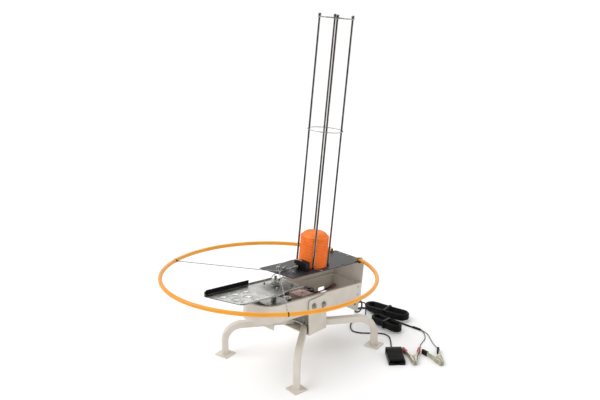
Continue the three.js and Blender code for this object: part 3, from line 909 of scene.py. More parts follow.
def refined(node: str, finish: Finish, bevel: float, name: str | None = None) -> None:
    """Shows a frame node's shape with merged faces and rounded edges, on the node's own body.

    Args:
        node: The frame's node.
        finish: Its finish.
        bevel: The width of its rounded edges, in millimetres.
        name: The piece's name, if it isn't the node's with _finished after it.
    """
    source = frame["nodes"][node]
    bm = bmesh.new()
    bm.from_mesh(source.data)
    bmesh.ops.remove_doubles(bm, verts=bm.verts, dist=2e-5)
    bmesh.ops.dissolve_limit(
        bm, angle_limit=math.radians(1), verts=bm.verts, edges=bm.edges
    )
    mesh = bpy.data.meshes.new(node)
    bm.to_mesh(mesh)
    bm.free()
    piece(
        name or f"{node}_finished", mesh, Matrix(), finish, source["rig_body"], bevel,
        [node],
    )


def fasteners(
    name: str, points: Iterable[Point], body: str = "thrower", **sizes: Any
) -> None:
    """Shows plated heads on washers at points of the tilted body, as one piece.

    Args:
        name: The piece's name.
        points: The points that the washers lie on.
        body: The body they ride on.
        **sizes: Input values for the tree of fasteners.
    """
    heads = Trees.STUD.grow(points_mesh(points), Finishes.BOLT, **sizes)
    piece(name, heads, BODY_PLACE, Finishes.BOLT, body)


def bent_bar(
    route: Sequence[Point], finish: Finish, r: float, sides: int, step: float = 0.0,
    closed: bool = False,
) -> bpy.types.Mesh:
    """Returns a round bar along points.

    Args:
        route: The points of its middle line.
        finish: Its finish.
        r: Its radius.
        sides: The number of its sides.
        step: The spacing of a smooth line through the points, or 0 for straight runs.
        closed: True if the last point joins the first.
    """
    line = smoothed(route, step) if step else route
    return Trees.TUBE.grow(seed_line(line, closed), finish, Radius=r, Sides=sides)




# ---- stand ---------------------------------------------------------------------------------------
@dataclass
class Stand:
    """Bracket and four bent legs of square tube on foot plates."""

    side: float = 25.0
    corner: float = 3.0
    level: float = 122.8
    bend: float = 65.0
    plate: float = 58.0
    plate_t: float = 4.0
    stake_hole: float = 4.0

    LEGS = (
        ("leg_front_left", (-190, -230), (-30, -14), 9, (1, -1)),
        ("leg_front_right", (190, -230), (30, -14), -9, (1, 1)),
        ("leg_rear_right", (182, 220), (30, 14), 9, (-1, 1)),
        ("leg_rear_left", (-182, 220), (-30, 14), -9, (-1, -1)),
    )

    def build(self) -> None:
        """Builds the bracket, its clamp plate and the legs."""
        refined("base_bracket", Finishes.CREAM, 1.0)
        refined("leg_clamp_plate", Finishes.BOLT, 0.6)
        for name, foot, start, turn, corner in self.LEGS:
            self._leg(name, Vector(foot), Vector(start), math.radians(turn), corner)

    def _leg(
        self, name: str, foot: Vector, start: Vector, turn: float, corner: Point
    ) -> None:
        """Builds one leg with its foot plate and the weld between them.

        Args:
            name: The leg's node.
            foot: The middle of its foot, on the ground.
            start: The middle of its inner end.
            turn: The foot plate's turn.
            corner: The signs of the plate's corner that has the stake hole.
        """
        run = foot - start
        reach, out = run.length, run.normalized()

        def at(s: float, z: float) -> Vector:
            """Returns a point of the leg's middle line."""
            return Vector((start.x + out.x * s, start.y + out.y * s, z))

        line = [at(s, self.level) for s in (0, (reach - self.bend) / 2)]
        for i in range(17):
            a = math.pi / 2 * i / 16
            drop = self.bend * (1 - math.cos(a))
            line.append(at(reach - self.bend * (1 - math.sin(a)), self.level - drop))
        line.append(at(reach, self.plate_t - 0.3))
        tube = Trees.BOX_TUBE.grow(
            seed_line(line), Finishes.CREAM, Side=self.side, Corner=self.corner
        )
        half = self.plate / 2
        hole = circle(
            corner[0] * (half - 9), corner[1] * (half - 9), self.stake_hole, 20
        )
        place = Matrix.Translation((*foot, 0)) @ Matrix.Rotation(turn, 4, "Z")
        plate = Shape().slab(
            rounded_box(half, half, 2.5), 0, self.plate_t, [hole], place
        )
        piece(
            f"{name}_tube", plate.add(tube).mesh(name), BASE_PLACE, Finishes.CREAM,
            "base", 0.5, [name],
        )
        weld_half = self.side / 2 + 0.6
        heading = math.atan2(out.y, out.x)
        ring = [
            Matrix.Rotation(heading, 4, "Z") @ Vector((x, y, self.plate_t + 0.4))
            for x, y in rounded_box(weld_half, weld_half, 3.0)
        ]
        bead = Trees.BEAD.grow(
            seed_line([p + Vector((*foot, 0)) for p in ring], closed=True),
            Finishes.CREAM, Radius=2.0, Step=1.9,
        )
        piece(f"{name}_weld", bead, BASE_PLACE, Finishes.CREAM, "base")


def rounded_box(
    half_x: float, half_y: float, r: float, steps: int = 5
) -> list[tuple[float, float]]:
    """Returns the corners of a rectangle with rounded corners, about the origin.

    Args:
        half_x: Half its size in x.
        half_y: Half its size in y.
        r: Its corner radius.
        steps: The number of points on each corner.
    """
    corners = []
    for i, (sx, sy) in enumerate(((1, 1), (-1, 1), (-1, -1), (1, -1))):
        for k in range(steps):
            a = math.pi / 2 * (i + k / (steps - 1))
            corners.append(
                (sx * (half_x - r) + r * math.cos(a), sy * (half_y - r) + r * math.sin(a))
            )
    return corners


# ---- chassis -------------------------------------------------------------------------------------
@dataclass
class Chassis:
    """Tray with its skirt and rear plate, and the bolts it tilts and locks on."""

    bolts: tuple[tuple[str, float, float], ...] = (
        ("tilt_bolt", -5.0, -130.0), ("lock_bolt", 51.0, -133.0),
    )
    bracket_half: float = 83.0
    tray_half: float = 76.0
    inner_face: float = 73.2
    washer_r: float = 12.5
    nut_r: float = 8.7
    head_r: float = 9.0
    shank_r: float = 5.0

    def build(self) -> None:
        """Builds the sheet-metal body and its fasteners."""
        for node, bevel in (("chassis_tray", 0.5), ("front_skirt", 0.6), ("rear_plate", 0.5)):
            refined(node, Finishes.CREAM, bevel)
        for name, v, w in self.bolts:
            for hand in (-1, 1):
                self._bolt(name, v, w, hand)
        self._screws()

    def _bolt(self, name: str, v: float, w: float, hand: int) -> None:
        """Builds a bolt with its washer, hexagon nut and thread end.

        Args:
            name: The bolt's name without its side.
            v: Its place along the body.
            w: Its place square to the deck.
            hand: 1 for the right side, -1 for the left.
        """
        out = self.bracket_half + 0.3
        inner = self.inner_face
        x = [hand * d for d in (inner - 7, inner - 3, out, out + 2, out + 8.5, out + 11)]
        shape = Shape()
        shape.rod((x[1], v, w), (x[3], v, w), self.shank_r, sides=20)
        shape.rod((x[0], v, w), (hand * inner, v, w), self.head_r, sides=6)
        shape.rod((x[2], v, w), (x[3], v, w), self.washer_r, self.washer_r - 0.6, 32)
        shape.rod((x[3], v, w), (x[4], v, w), self.nut_r, sides=6)
        shape.rod((x[3], v, w), (hand * (out + 3), v, w), 9.8, 9.2, 28)
        shape.rod((x[4] - hand, v, w), (x[5], v, w), 4.8, 4.0, 20)
        node = f"{name}_{'right' if hand > 0 else 'left'}"
        piece(
            f"{node}_set", shape.mesh(node), BODY_PLACE, Finishes.BOLT, "thrower", 0.5,
            [node],
        )

    def _screws(self) -> None:
        """Puts pan-head screws on the rear plate, its flange and the tray's sides."""
        rear = [(u, REAR_PLATE_BACK, w) for u in (-62, 62) for w in (-148, -108)]
        fasteners(
            "rear_plate_screws", rear, Turn=(-math.pi / 2, 0.0, 0.0), Head_Radius=3.6,
            Head_Height=2.0, Sides=20,
        )
        for hand in (-1, 1):
            out = hand * self.tray_half
            word = "right" if hand > 0 else "left"
            fasteners(
                f"tray_screws_{word}", [(out, 262, -140), (out, 262, -108), (out, -186, -128)],
                Turn=(0.0, hand * math.pi / 2, 0.0), Head_Radius=3.0, Head_Height=1.6,
                Sides=20, Washer_Radius=3.8,
            )


# ---- deck and feed -------------------------------------------------------------------------------
@dataclass
class DeckAndFeed:
    """Deck with the feed slide under it, the solenoid cover on it and the release linkage."""

    cover: tuple[Point, Point] = ((5, -38, 0.3), (50, -13, 33))
    push_rod: Point = (16, -104, 12)
    push_rod_r: float = 2.5

    def build(self) -> None:
        """Builds the deck, the feed and the small parts at the front."""
        refined("deck_plate", Finishes.DECK, 0.5)
        refined("feed_slide", Finishes.ZINC, 0.3)
        low, high = self.cover
        cover = Shape().box(low, high)
        u, _, w = self.push_rod
        cover.rod((u, low[1] - 4, w), (u, low[1] + 1, w), 6.5, 6.0, 24)
        piece(
            "solenoid_cover", cover.mesh("cover"), BODY_PLACE, Finishes.ABS, "thrower",
            1.6, ["feed_solenoid_cover"],
        )
        lid = Shape().box(
            (low[0] + 2, low[1] + 2, high[2] - 0.4), (high[0] - 2, high[1] - 2, high[2] + 1.4)
        )
        piece("solenoid_lid", lid.mesh("lid"), BODY_PLACE, Finishes.ABS, "thrower", 0.5)
        self._rod()
        self._linkage()
        self._deck_fasteners()

    def _rod(self) -> None:
        """Builds the push rod with its collars, which ride on the feed, and its return spring on
        the body.
        """
        u, v, w = self.push_rod
        rod = Shape().rod((u, v, w), (u, -25, w), self.push_rod_r, sides=20)
        rod.rod((u, v, w), (u, v + 6, w), 6.2, 5.6, 24)
        rod.rod((u, -70, w), (u, -66, w), 6, sides=24)
        piece(
            "push_rod_turned", rod.mesh("rod"), BODY_PLACE, Finishes.BOLT, "feed", 0.4,
            ["feed_push_rod"],
        )
        spring = Trees.COIL.grow(
            points_mesh([(0, 0, 0)]), Finishes.WIRE, Turns=7.0, Coil_Radius=4.4,
            Wire=0.7, Length=23.0,
        )
        lie = Matrix.Translation((u, -43, w)) @ Matrix.Rotation(math.pi / 2, 4, "X")
        piece("push_rod_spring", spring, BODY_PLACE @ lie, Finishes.WIRE, "thrower")

    def _linkage(self) -> None:
        """Builds the link to the cover, the trip spring, its bolts and the wire hooks below."""
        route = [(-3, -126, 26), (-8, -106, 27), (-9, -82, 30), (-4, -58, 34), (8, -42, 36.2)]
        link = bent_bar(route, Finishes.WIRE, 1.5, 10, 4.0)
        piece("trip_link", link, BODY_PLACE, Finishes.WIRE, "thrower")
        tab = Shape().slab(
            rounded_box(14, 5, 2.5), 34.6, 36.4, [circle(6, 0, 2.4)],
            Matrix.Translation((12, -36, 0)) @ Matrix.Rotation(0.25, 4, "Z"),
        )
        tab.box((-4, -44, 20), (-2.2, -30, 36.0))
        piece("trip_tab", tab.mesh("tab"), BODY_PLACE, Finishes.BOLT, "thrower", 0.4)
        coil = Trees.COIL.grow(
            points_mesh([(0, 0, 0)]), Finishes.WIRE, Turns=9.0, Coil_Radius=4.6,
            Wire=1.1, Length=30.0,
        )
        lean = Vector((-6, 34, 6)).to_track_quat("Z", "Y").to_matrix().to_4x4()
        piece(
            "trip_spring", coil, BODY_PLACE @ Matrix.Translation((-2, -106, 6.5)) @ lean,
            Finishes.WIRE, "thrower",
        )
        fasteners(
            "trip_bolts", [(3, -113, 0.3), (-12, -66, 0.3), (34, -84, 0.3), (-26, -96, 0.3)],
            Head_Radius=5.2, Head_Height=5.0, Sides=6, Washer_Radius=7.5,
        )
        hooks = Shape()
        for route in (
            [
                (-8, -116, -4), (-7, -132, -6), (-6, -152, -12), (2, -160, -19),
                (16, -158, -22), (24, -150, -18),
            ],
            [
                (22, -112, -4), (24, -124, -8), (22, -134, -18), (32, -142, -22),
                (46, -140, -21), (54, -130, -17),
            ],
        ):
            hooks.add(bent_bar(route, Finishes.WIRE, 1.6, 10, 3.0))
        piece("trip_hooks", hooks.mesh("hooks"), BODY_PLACE, Finishes.WIRE, "thrower")

    def _deck_fasteners(self) -> None:
        """Puts countersunk screws along the deck's rear edge and the light strip by the stack."""
        fasteners(
            "deck_screws", [(u, 268, 0) for u in (-40, 0, 40)], Head_Radius=3.2,
            Head_Height=1.2, Sides=20, Washer_Radius=4.0,
        )
        strip = Shape().slab(
            rounded_box(4, 17, 1.5), 0.3, 2.6,
            turn=Matrix.Translation((64, 20, 0)) @ Matrix.Rotation(-0.9, 4, "Z"),
        )
        piece("stack_stop_strip", strip.mesh("strip"), BODY_PLACE, Finishes.BOLT, "thrower", 0.3)


# ---- magazine ------------------------------------------------------------------------------------
@dataclass
class Magazine:
    """Nested clay targets between four chromed rods, with two wire hoops."""

    stack_v: float = 58.0
    radius: float = 54.0
    pitch: float = 12.0
    count: int = 10
    rod_half: float = 42.3
    rod_r: float = 4.0
    rod_length: float = 940.0
    hoops: tuple[tuple[str, float], ...] = (("low", 520.0), ("high", 926.0))
    hoop_r: float = 1.6

    def build(self) -> None:
        """Builds the targets, the rods and the hoops."""
        self._targets()
        self._rods()
        for where, w in self.hoops:
            self._hoop(where, w)

    def _targets(self) -> None:
        """Builds the stack from one target: two rim ribs, a stepped dome and a hollow below."""
        r = self.radius
        profile = [
            (0, 13), (34, 13), (38.5, 11), (44, 5), (47, 0.3), (r - 1.6, 0.2), (r - 0.3, 0.9),
            (r, 1.9), (r - 0.3, 3.6), (r - 2.6, 4.9), (r - 2.8, 5.6), (r - 0.4, 6.8), (r, 8.0),
            (r - 0.4, 9.6), (r - 2.8, 11.2), (r - 4.4, 12.2), (47.4, 14.5), (44.6, 18.4),
            (41.5, 21.2), (37.5, 23.6), (32, 25.2), (26, 26), (24, 25.4), (0, 25.4),
        ]
        target = Shape().lathe(profile, sides=72).mesh("target")
        stack = Trees.ROW.grow(
            target, Finishes.CLAY, Count=self.count, Step=(0.0, 0.0, self.pitch),
            Swing=0.9, Shift=0.25, Draw=7,
        )
        place = BODY_PLACE @ Matrix.Translation((0, self.stack_v, -2.6))
        piece(
            "clay_targets", stack, place, Finishes.CLAY, "thrower", 0.0,
            ["clay_target_bottom", "clay_target_stack", "clay_target_top"], 32,
        )

    def _rods(self) -> None:
        """Builds the rods, each with its base nut and end cap."""
        r, top = self.rod_r, self.rod_length
        profile = [
            (0, 0.4), (r, 0.4), (r, top - 11), (5.6, top - 10.5), (6.0, top - 9.6),
            (6.0, top - 3.4), (5.2, top - 1.4), (3.2, top - 0.3), (0, top),
        ]
        for su, sv, where in (
            (-1, -1, "front_left"), (1, -1, "front_right"), (1, 1, "rear_right"),
            (-1, 1, "rear_left"),
        ):
            u, v = su * self.rod_half, self.stack_v + sv * self.rod_half
            at = Matrix.Translation((u, v, 0))
            rod = Shape().lathe(profile, at, 24)
            rod.rod((u, v, 0.4), (u, v, 5.6), 5.4, sides=6)
            rod.rod((u, v, 5.4), (u, v, 7.4), 5.0, 4.2, 20)
            node = f"magazine_rod_{where}"
            piece(
                f"{node}_chromed", rod.mesh(node), BODY_PLACE, Finishes.CHROME, "thrower",
                0.0, [node],
            )

    def _hoop(self, where: str, w: float) -> None:
        """Builds a wire hoop with a bead of weld at each rod.

        Args:
            where: The hoop's place, as its node says.
            w: Its height above the deck.
        """
        r = math.sqrt(2) * self.rod_half + self.rod_r + self.hoop_r
        ring = [(x, self.stack_v + y, w) for x, y in circle(0, 0, r, 96)]
        wire = bent_bar(ring, Finishes.WIRE, self.hoop_r, 12, closed=True)
        shape = Shape().add(wire)
        for su in (-1, 1):
            for sv in (-1, 1):
                near = r / math.sqrt(2) - 1.2
                at = Matrix.Translation((su * near, self.stack_v + sv * near, w))
                bead = [(0, -3.2), (1.6, -2.6), (2.4, 0), (1.6, 2.6), (0, 3.2)]
                shape.lathe(bead, at, 12)
        node = f"magazine_hoop_{where}"
        piece(
            f"{node}_wire", shape.mesh(node), BODY_PLACE, Finishes.WIRE, "thrower", 0.0,
            [node],
        )


# ---- throwing arm --------------------------------------------------------------------------------
@dataclass
class ThrowingArm:
    """Arm plate with its rail and rubber strip, on the shaft that carries the large gear."""

    v: float = -140.0
    top: float = -47.0
    domes: tuple[Point, ...] = (
        (-10, -389), (-7, -334), (-9, -283), (36, -369), (35, -310), (69, -355), (71, -301),
    )
    dome_r: float = 15.0
    strip: tuple[Point, Point] = ((-56.7, -428, -45), (-52.5, -224, -28))
    edge: tuple[Point, ...] = (
        (78, -388), (84.5, -377), (85.5, -330), (85.5, -240), (84, -215), (78, -190),
        (70.5, -165), (66.5, -145), (65.6, -124),
    )
    edge_r: float = 2.6

    def build(self) -> None:
        """Builds the arm and what turns with it."""
        refined("arm_plate", Finishes.ZINC, 0.5)
        inside = [p for p in self.domes if p[0] < 69]
        domes = Trees.DOME.grow(
            points_mesh([(u, v, self.top - 0.4) for u, v in inside]), Finishes.ZINC,
            Radius=self.dome_r, Shape=(1.0, 1.3, 0.24),
        )
        edge_domes = Trees.DOME.grow(
            points_mesh([(u - 1.5, v, self.top - 0.4) for u, v in self.domes if u >= 69]),
            Finishes.ZINC, Radius=self.dome_r * 0.8, Shape=(1.0, 1.35, 0.2),
        )
        both = Shape().add(domes).add(edge_domes)
        piece("arm_pressed_domes", both.mesh("domes"), BODY_PLACE, Finishes.ZINC, "arm")
        strip = Shape().box(*self.strip)
        piece(
            "arm_rubber_strip_moulded", strip.mesh("strip"), BODY_PLACE, Finishes.RUBBER,
            "arm", 1.2, ["arm_rubber_strip"],
        )
        edge = [(u, v, self.top + 0.2) for u, v in self.edge]
        rolled = bent_bar(edge, Finishes.CHROME, self.edge_r, 12, 5.0)
        piece("arm_rolled_edge", rolled, BODY_PLACE, Finishes.CHROME, "arm")
        refined("arm_shaft", Finishes.BOLT, 0.5)
        refined("arm_shaft_nut", Finishes.BOLT, 0.6)
        refined("arm_gear", Finishes.BOLT, 0.3)
        corners = ((-34, 56), (34, 56), (-34, -24), (34, -24))
        fasteners(
            "arm_plate_bolts", [(x, self.v + y, self.top) for x, y in corners], "arm",
            Head_Radius=4.6, Head_Height=4.0, Sides=6, Washer_Radius=6.2,
        )


# ---- drive ---------------------------------------------------------------------------------------
@dataclass
class Drive:
    """Motor, gearbox and pinion in the tray, with the cocking spring, control box and wiring."""

    motor: Point = (-8.0, 62.0, -158.2)
    motor_r: float = 21.0
    gearbox_top: float = -102.0
    spring: Point = (-54.0, -70.0, -137.0)
    spring_r: float = 8.0
    spring_wire: float = 1.6
    spring_length: float = 160.0
    spring_turns: float = 42.0
    control: tuple[Point, Point] = ((-62, 284.1, -148), (6, 310.1, -94))
    lid: float = 7.0
    wire_r: float = 1.5

    def build(self) -> None:
        """Builds everything inside the tray."""
        refined("drive_gearbox", Finishes.CAST, 1.2)
        spots = ((-20, -24), (33, -24), (33, 33), (-20, 33), (8, 6))
        fasteners(
            "gearbox_screws", [(u, v, self.gearbox_top) for u, v in spots], Head_Radius=3.4,
            Head_Height=2.4, Sides=20, Washer_Radius=4.4,
        )
        refined("motor_pinion", Finishes.BOLT, 0.2)
        refined("arm_bearing", Finishes.BOLT, 0.6)
        self._motor()
        self._spring()
        self._control()

    def _motor(self) -> None:
        """Builds the upright motor: a drawn can with a crimped top, its boss and two terminals."""
        u, v, w = self.motor
        r, tall = self.motor_r, 57.2
        profile = [
            (0, 0), (r - 2, 0), (r - 0.4, 1.4), (r - 0.4, 9), (r - 1.2, 9.8), (r - 1.2, 11),
            (r - 0.4, 11.8), (r, 13), (r, tall - 9), (r - 1.0, tall - 8), (r - 1.0, tall - 6),
            (r, tall - 5), (r, tall - 2.5), (r - 1.6, tall - 0.6), (r - 4, tall), (9, tall),
            (8, tall + 0.8), (8, tall + 3.6), (7, tall + 4.2), (0, tall + 4.2),
        ]
        can = Shape().lathe(profile, Matrix.Translation((u, v, w)), 48)
        piece(
            "motor_can", can.mesh("motor"), BODY_PLACE, Finishes.MOTOR, "thrower", 0.0,
            ["drive_motor"], 30,
        )
        top = w + tall
        tabs = Shape()
        for side in (-1, 1):
            tabs.box((u - 17, v + side * 6 - 2, top), (u - 16, v + side * 6 + 2, top + 6))
        piece("motor_terminals", tabs.mesh("tabs"), BODY_PLACE, Finishes.COPPER, "thrower", 0.1)

    def _spring(self) -> None:
        """Builds the cocking spring with a hook at each end."""
        u, v, w = self.spring
        coil = Trees.COIL.grow(
            points_mesh([(0, 0, 0)]), Finishes.WIRE, Turns=self.spring_turns,
            Coil_Radius=self.spring_r, Wire=self.spring_wire, Length=self.spring_length,
        )
        lie = Matrix.Translation((u, v + 8, w)) @ Matrix.Rotation(-math.pi / 2, 4, "X")
        shape = Shape()
        coil.transform(lie)
        shape.add(coil)
        for route in (
            [
                (u + 8, v + 8, w), (u + 7, v + 3, w + 1), (u, v - 1, w), (u - 6, v + 2, w),
                (u - 2, v + 6, w),
            ],
            [(u + 8, v + 168, w), (u + 7, v + 172, w), (u, v + 178.5, w), (u, v + 181, w)],
        ):
            shape.add(bent_bar(route, Finishes.WIRE, self.spring_wire, 8, 2.0))
        piece(
            "cocking_spring_wound", shape.mesh("spring"), BODY_PLACE, Finishes.WIRE,
            "thrower", 0.0, ["cocking_spring"],
        )

    def _control(self) -> None:
        """Builds the control box with its lid, screws and the wires to the motor and the switch."""
        low, high = map(Vector, self.control)
        box = Shape().box(low, (high.x, high.y - self.lid, high.z))
        box.box((low.x - 0.6, high.y - 6.6, low.z - 0.6), (high.x + 0.6, high.y, high.z + 0.6))
        piece(
            "control_box_case", box.mesh("box"), BODY_PLACE, Finishes.ABS, "thrower", 1.4,
            ["control_box"],
        )
        fasteners(
            "control_box_screws",
            [(x, high.y, z) for x in (low.x + 6, high.x - 6) for z in (low.z + 6, high.z - 6)],
            Turn=(-math.pi / 2, 0.0, 0.0), Head_Radius=2.6, Head_Height=1.2, Sides=20,
            Washer_Radius=3.0,
        )
        u, v, w = self.motor
        near = w + 59
        for name, finish, route in (
            ("motor_wire_red", Finishes.RED_VINYL, [
                (u - 16.5, v + 6, near), (u - 24, v + 20, near - 14), (-46, 104, -140),
                (-60, 150, -155), (-62, 230, -155), (-50, 278, -140),
            ]),
            ("motor_wire_black", Finishes.JACKET, [
                (u - 16.5, v - 6, near), (u - 30, v + 16, near - 18), (-52, 104, -144),
                (-66, 150, -155), (-67, 230, -155), (-56, 278, -136),
            ]),
            ("gland_wire", Finishes.JACKET, [
                (6, 296, -138), (16, 298, -140), (24, 298, -154), (27, 293, -170),
                (28, 289, -180),
            ]),
            ("switch_wire", Finishes.JACKET, [
                (-26, 292, -94), (-24, 297, -88), (-24, 295, -81), (-26, 291, -76),
            ]),
        ):
            wire = bent_bar(route, finish, self.wire_r, 10, 3.0)
            piece(name, wire, BODY_PLACE, finish, "thrower")


@dataclass
class PowerSwitch:
    """Rocker switch on the back of the rear plate, with the edges its frame nodes get."""

    housing_edge: float = 0.6
    rocker_edge: float = 0.8

    def build(self) -> None:
        """Builds the housing and the rocker."""
        refined("switch_housing", Finishes.ABS, self.housing_edge)
        refined("switch_rocker", Finishes.RED_VINYL, self.rocker_edge)


# ---- safety ring ---------------------------------------------------------------------------------
@dataclass
class SafetyRing:
    """Oval ring of bent tube, clamped at its two rear ends and held in front by two wire stays."""

    a: float = 359.0
    v: float = -160.0
    front: float = 428.0
    rear: float = 419.0
    end_u: float = 68.0
    tube: float = 7.5
    w: float = 8.3
    slope: float = 0.027
    post_v: float = -131.0
    strap_t: float = 2.0
    stays: tuple[tuple[str, float, float], ...] = (("right", 0.33, 19.0), ("left", 0.688, 4.2))
    stay_r: float = 1.5
    eye_r: float = 6.0
    steps: int = 240

    def point(self, t: float) -> Vector:
        """Returns a point of the ring's middle line, with t from 0 at the right end to 1."""
        gap = math.asin(self.end_u / self.a)
        angle = math.pi / 2 - gap - t * (2 * math.pi - 2 * gap)
        reach = self.rear if math.sin(angle) > 0 else self.front
        end_v = self.v + self.rear * math.cos(gap)
        v = self.v + reach * math.sin(angle)
        return Vector((self.a * math.cos(angle), v, self.w + self.slope * (v - end_v)))

    def build(self) -> None:
        """Builds the ring, its clamps and its stays."""
        line = [self.point(i / self.steps) for i in range(self.steps + 1)]
        piece(
            "safety_ring_tube", bent_bar(line, Finishes.ORANGE, self.tube, 24), BODY_PLACE,
            Finishes.ORANGE, "thrower", 0.0, ["safety_ring"], 50,
        )
        for hand, word in ((1, "right"), (-1, "left")):
            self._clamp(hand, word)
        self._stays()

    def _clamp(self, hand: int, word: str) -> None:
        """Builds a saddle clamp: a black bar under the tube, a bent strap over it and two bolts.

        Args:
            hand: 1 for the right end, -1 for the left.
            word: The side's name.
        """
        end = self.point(0.006 if hand > 0 else 0.994)
        bar = Shape().box((end.x - 13, end.y - 17, 0.3), (end.x + 13, end.y + 17, 1.2))
        piece(
            f"ring_clamp_bar_{word}", bar.mesh("bar"), BODY_PLACE, Finishes.ABS, "thrower", 0.2
        )
        strap = Shape()
        r, z, foot, low = self.tube + 0.5, end.z, 5.0, 1.3
        top = low + self.strap_t
        arc = [(a, z + h) for a, h in circle(0, 0, r, 24)[:13]]
        outer = [(a, z + h) for a, h in circle(0, 0, r + self.strap_t, 24)[:13]]
        profile = [
            (r, low), *arc, (-r, low), (-r - foot, low), (-r - foot, top),
            *[(a, max(h, top)) for a, h in outer], (r + foot, top), (r + foot, low),
        ]
        heading = math.pi / 2 + hand * 0.16
        turn = (
            Matrix.Translation((end.x, end.y, 0))
            @ Matrix.Rotation(heading + math.pi / 2, 4, "Z")
            @ Matrix.Rotation(math.pi / 2, 4, "X")
        )
        strap.slab(profile, -7, 7, turn=turn)
        piece(
            f"ring_clamp_{word}_strap", strap.mesh("strap"), BODY_PLACE, Finishes.BOLT,
            "thrower", 0.3, [f"ring_clamp_{word}"],
        )
        fasteners(
            f"ring_clamp_bolts_{word}", [turn @ Vector((s * (r + 3.4), top, 0)) for s in (1, -1)],
            Head_Radius=3.0, Head_Height=2.6, Sides=6, Washer_Radius=3.6, Washer_Height=0.6,
        )
        last = self.point(0 if hand > 0 else 1)
        ahead = (last - self.point(0.004 if hand > 0 else 0.996)).normalized()
        cap = Shape().rod(
            last - 0.2 * ahead, last + 2.2 * ahead, self.tube - 0.2, self.tube - 1.6
        )
        piece(f"ring_end_cap_{word}", cap.mesh("cap"), BODY_PLACE, Finishes.ABS, "thrower")

    def _stays(self) -> None:
        """Builds the post and two wire stays, each with an eye on it and a clip at the ring."""
        x, v = 0, self.post_v
        post = Shape().rod((x, v, 0.4), (x, v, 3.4), 7.5, 7.0, 6)
        post.rod((x, v, 4.5), (x, v, 16), 4.4, 4.4)
        post.rod((x, v, 15), (x, v, 17), 8, 7.6)
        post.rod((x, v, 21), (x, v, 24.6), 8, 6.4, 6)
        post.rod((x, v, 16), (x, v, 22), 4.2, 4.2)
        piece(
            "stay_post_turned", post.mesh("post"), BODY_PLACE, Finishes.BOLT, "thrower",
            0.3, ["stay_post"],
        )
        for word, t, height in self.stays:
            anchor = Vector((x, v, height))
            top = self.point(t)
            inward = (anchor - top).normalized()
            ends = [top + (self.tube - 0.5) * inward, anchor - self.eye_r * inward]
            wire = bent_bar(ends, Finishes.WIRE, self.stay_r, 12)
            eye_at = Matrix.Translation(anchor + Vector((0, 0, 1.6 if word == "left" else 0.0)))
            eye = bent_bar(
                [eye_at @ Vector((a, b, 0)) for a, b in circle(0, 0, self.eye_r, 24)],
                Finishes.WIRE, self.stay_r, 10, closed=True,
            )
            piece(
                f"ring_stay_{word}_wire", Shape().add(wire).add(eye).mesh("stay"),
                BODY_PLACE, Finishes.WIRE, "thrower", 0.0, [f"ring_stay_{word}"],
            )
            along = (self.point(t + 0.004) - self.point(t - 0.004)).normalized()
            clip = Shape().rod(top - 2 * along, top + 2 * along, self.tube + 0.5)
            clip.rod(top + self.tube * inward, top + (self.tube + 5) * inward, 2.8, 2.2, 16)
            piece(
                f"ring_stay_clip_{word}", clip.mesh("clip"), BODY_PLACE, Finishes.ABS,
                "thrower", 0.3,
            )


# ---- cords ---------------------------------------------------------------------------------------
def body_point(u: float, v: float, w: float) -> Vector:
    """Returns a point of the tilted body in the ground's axes, in millimetres."""
    return BASE_PLACE.inverted() @ (BODY_PLACE @ Vector((u, v, w)))


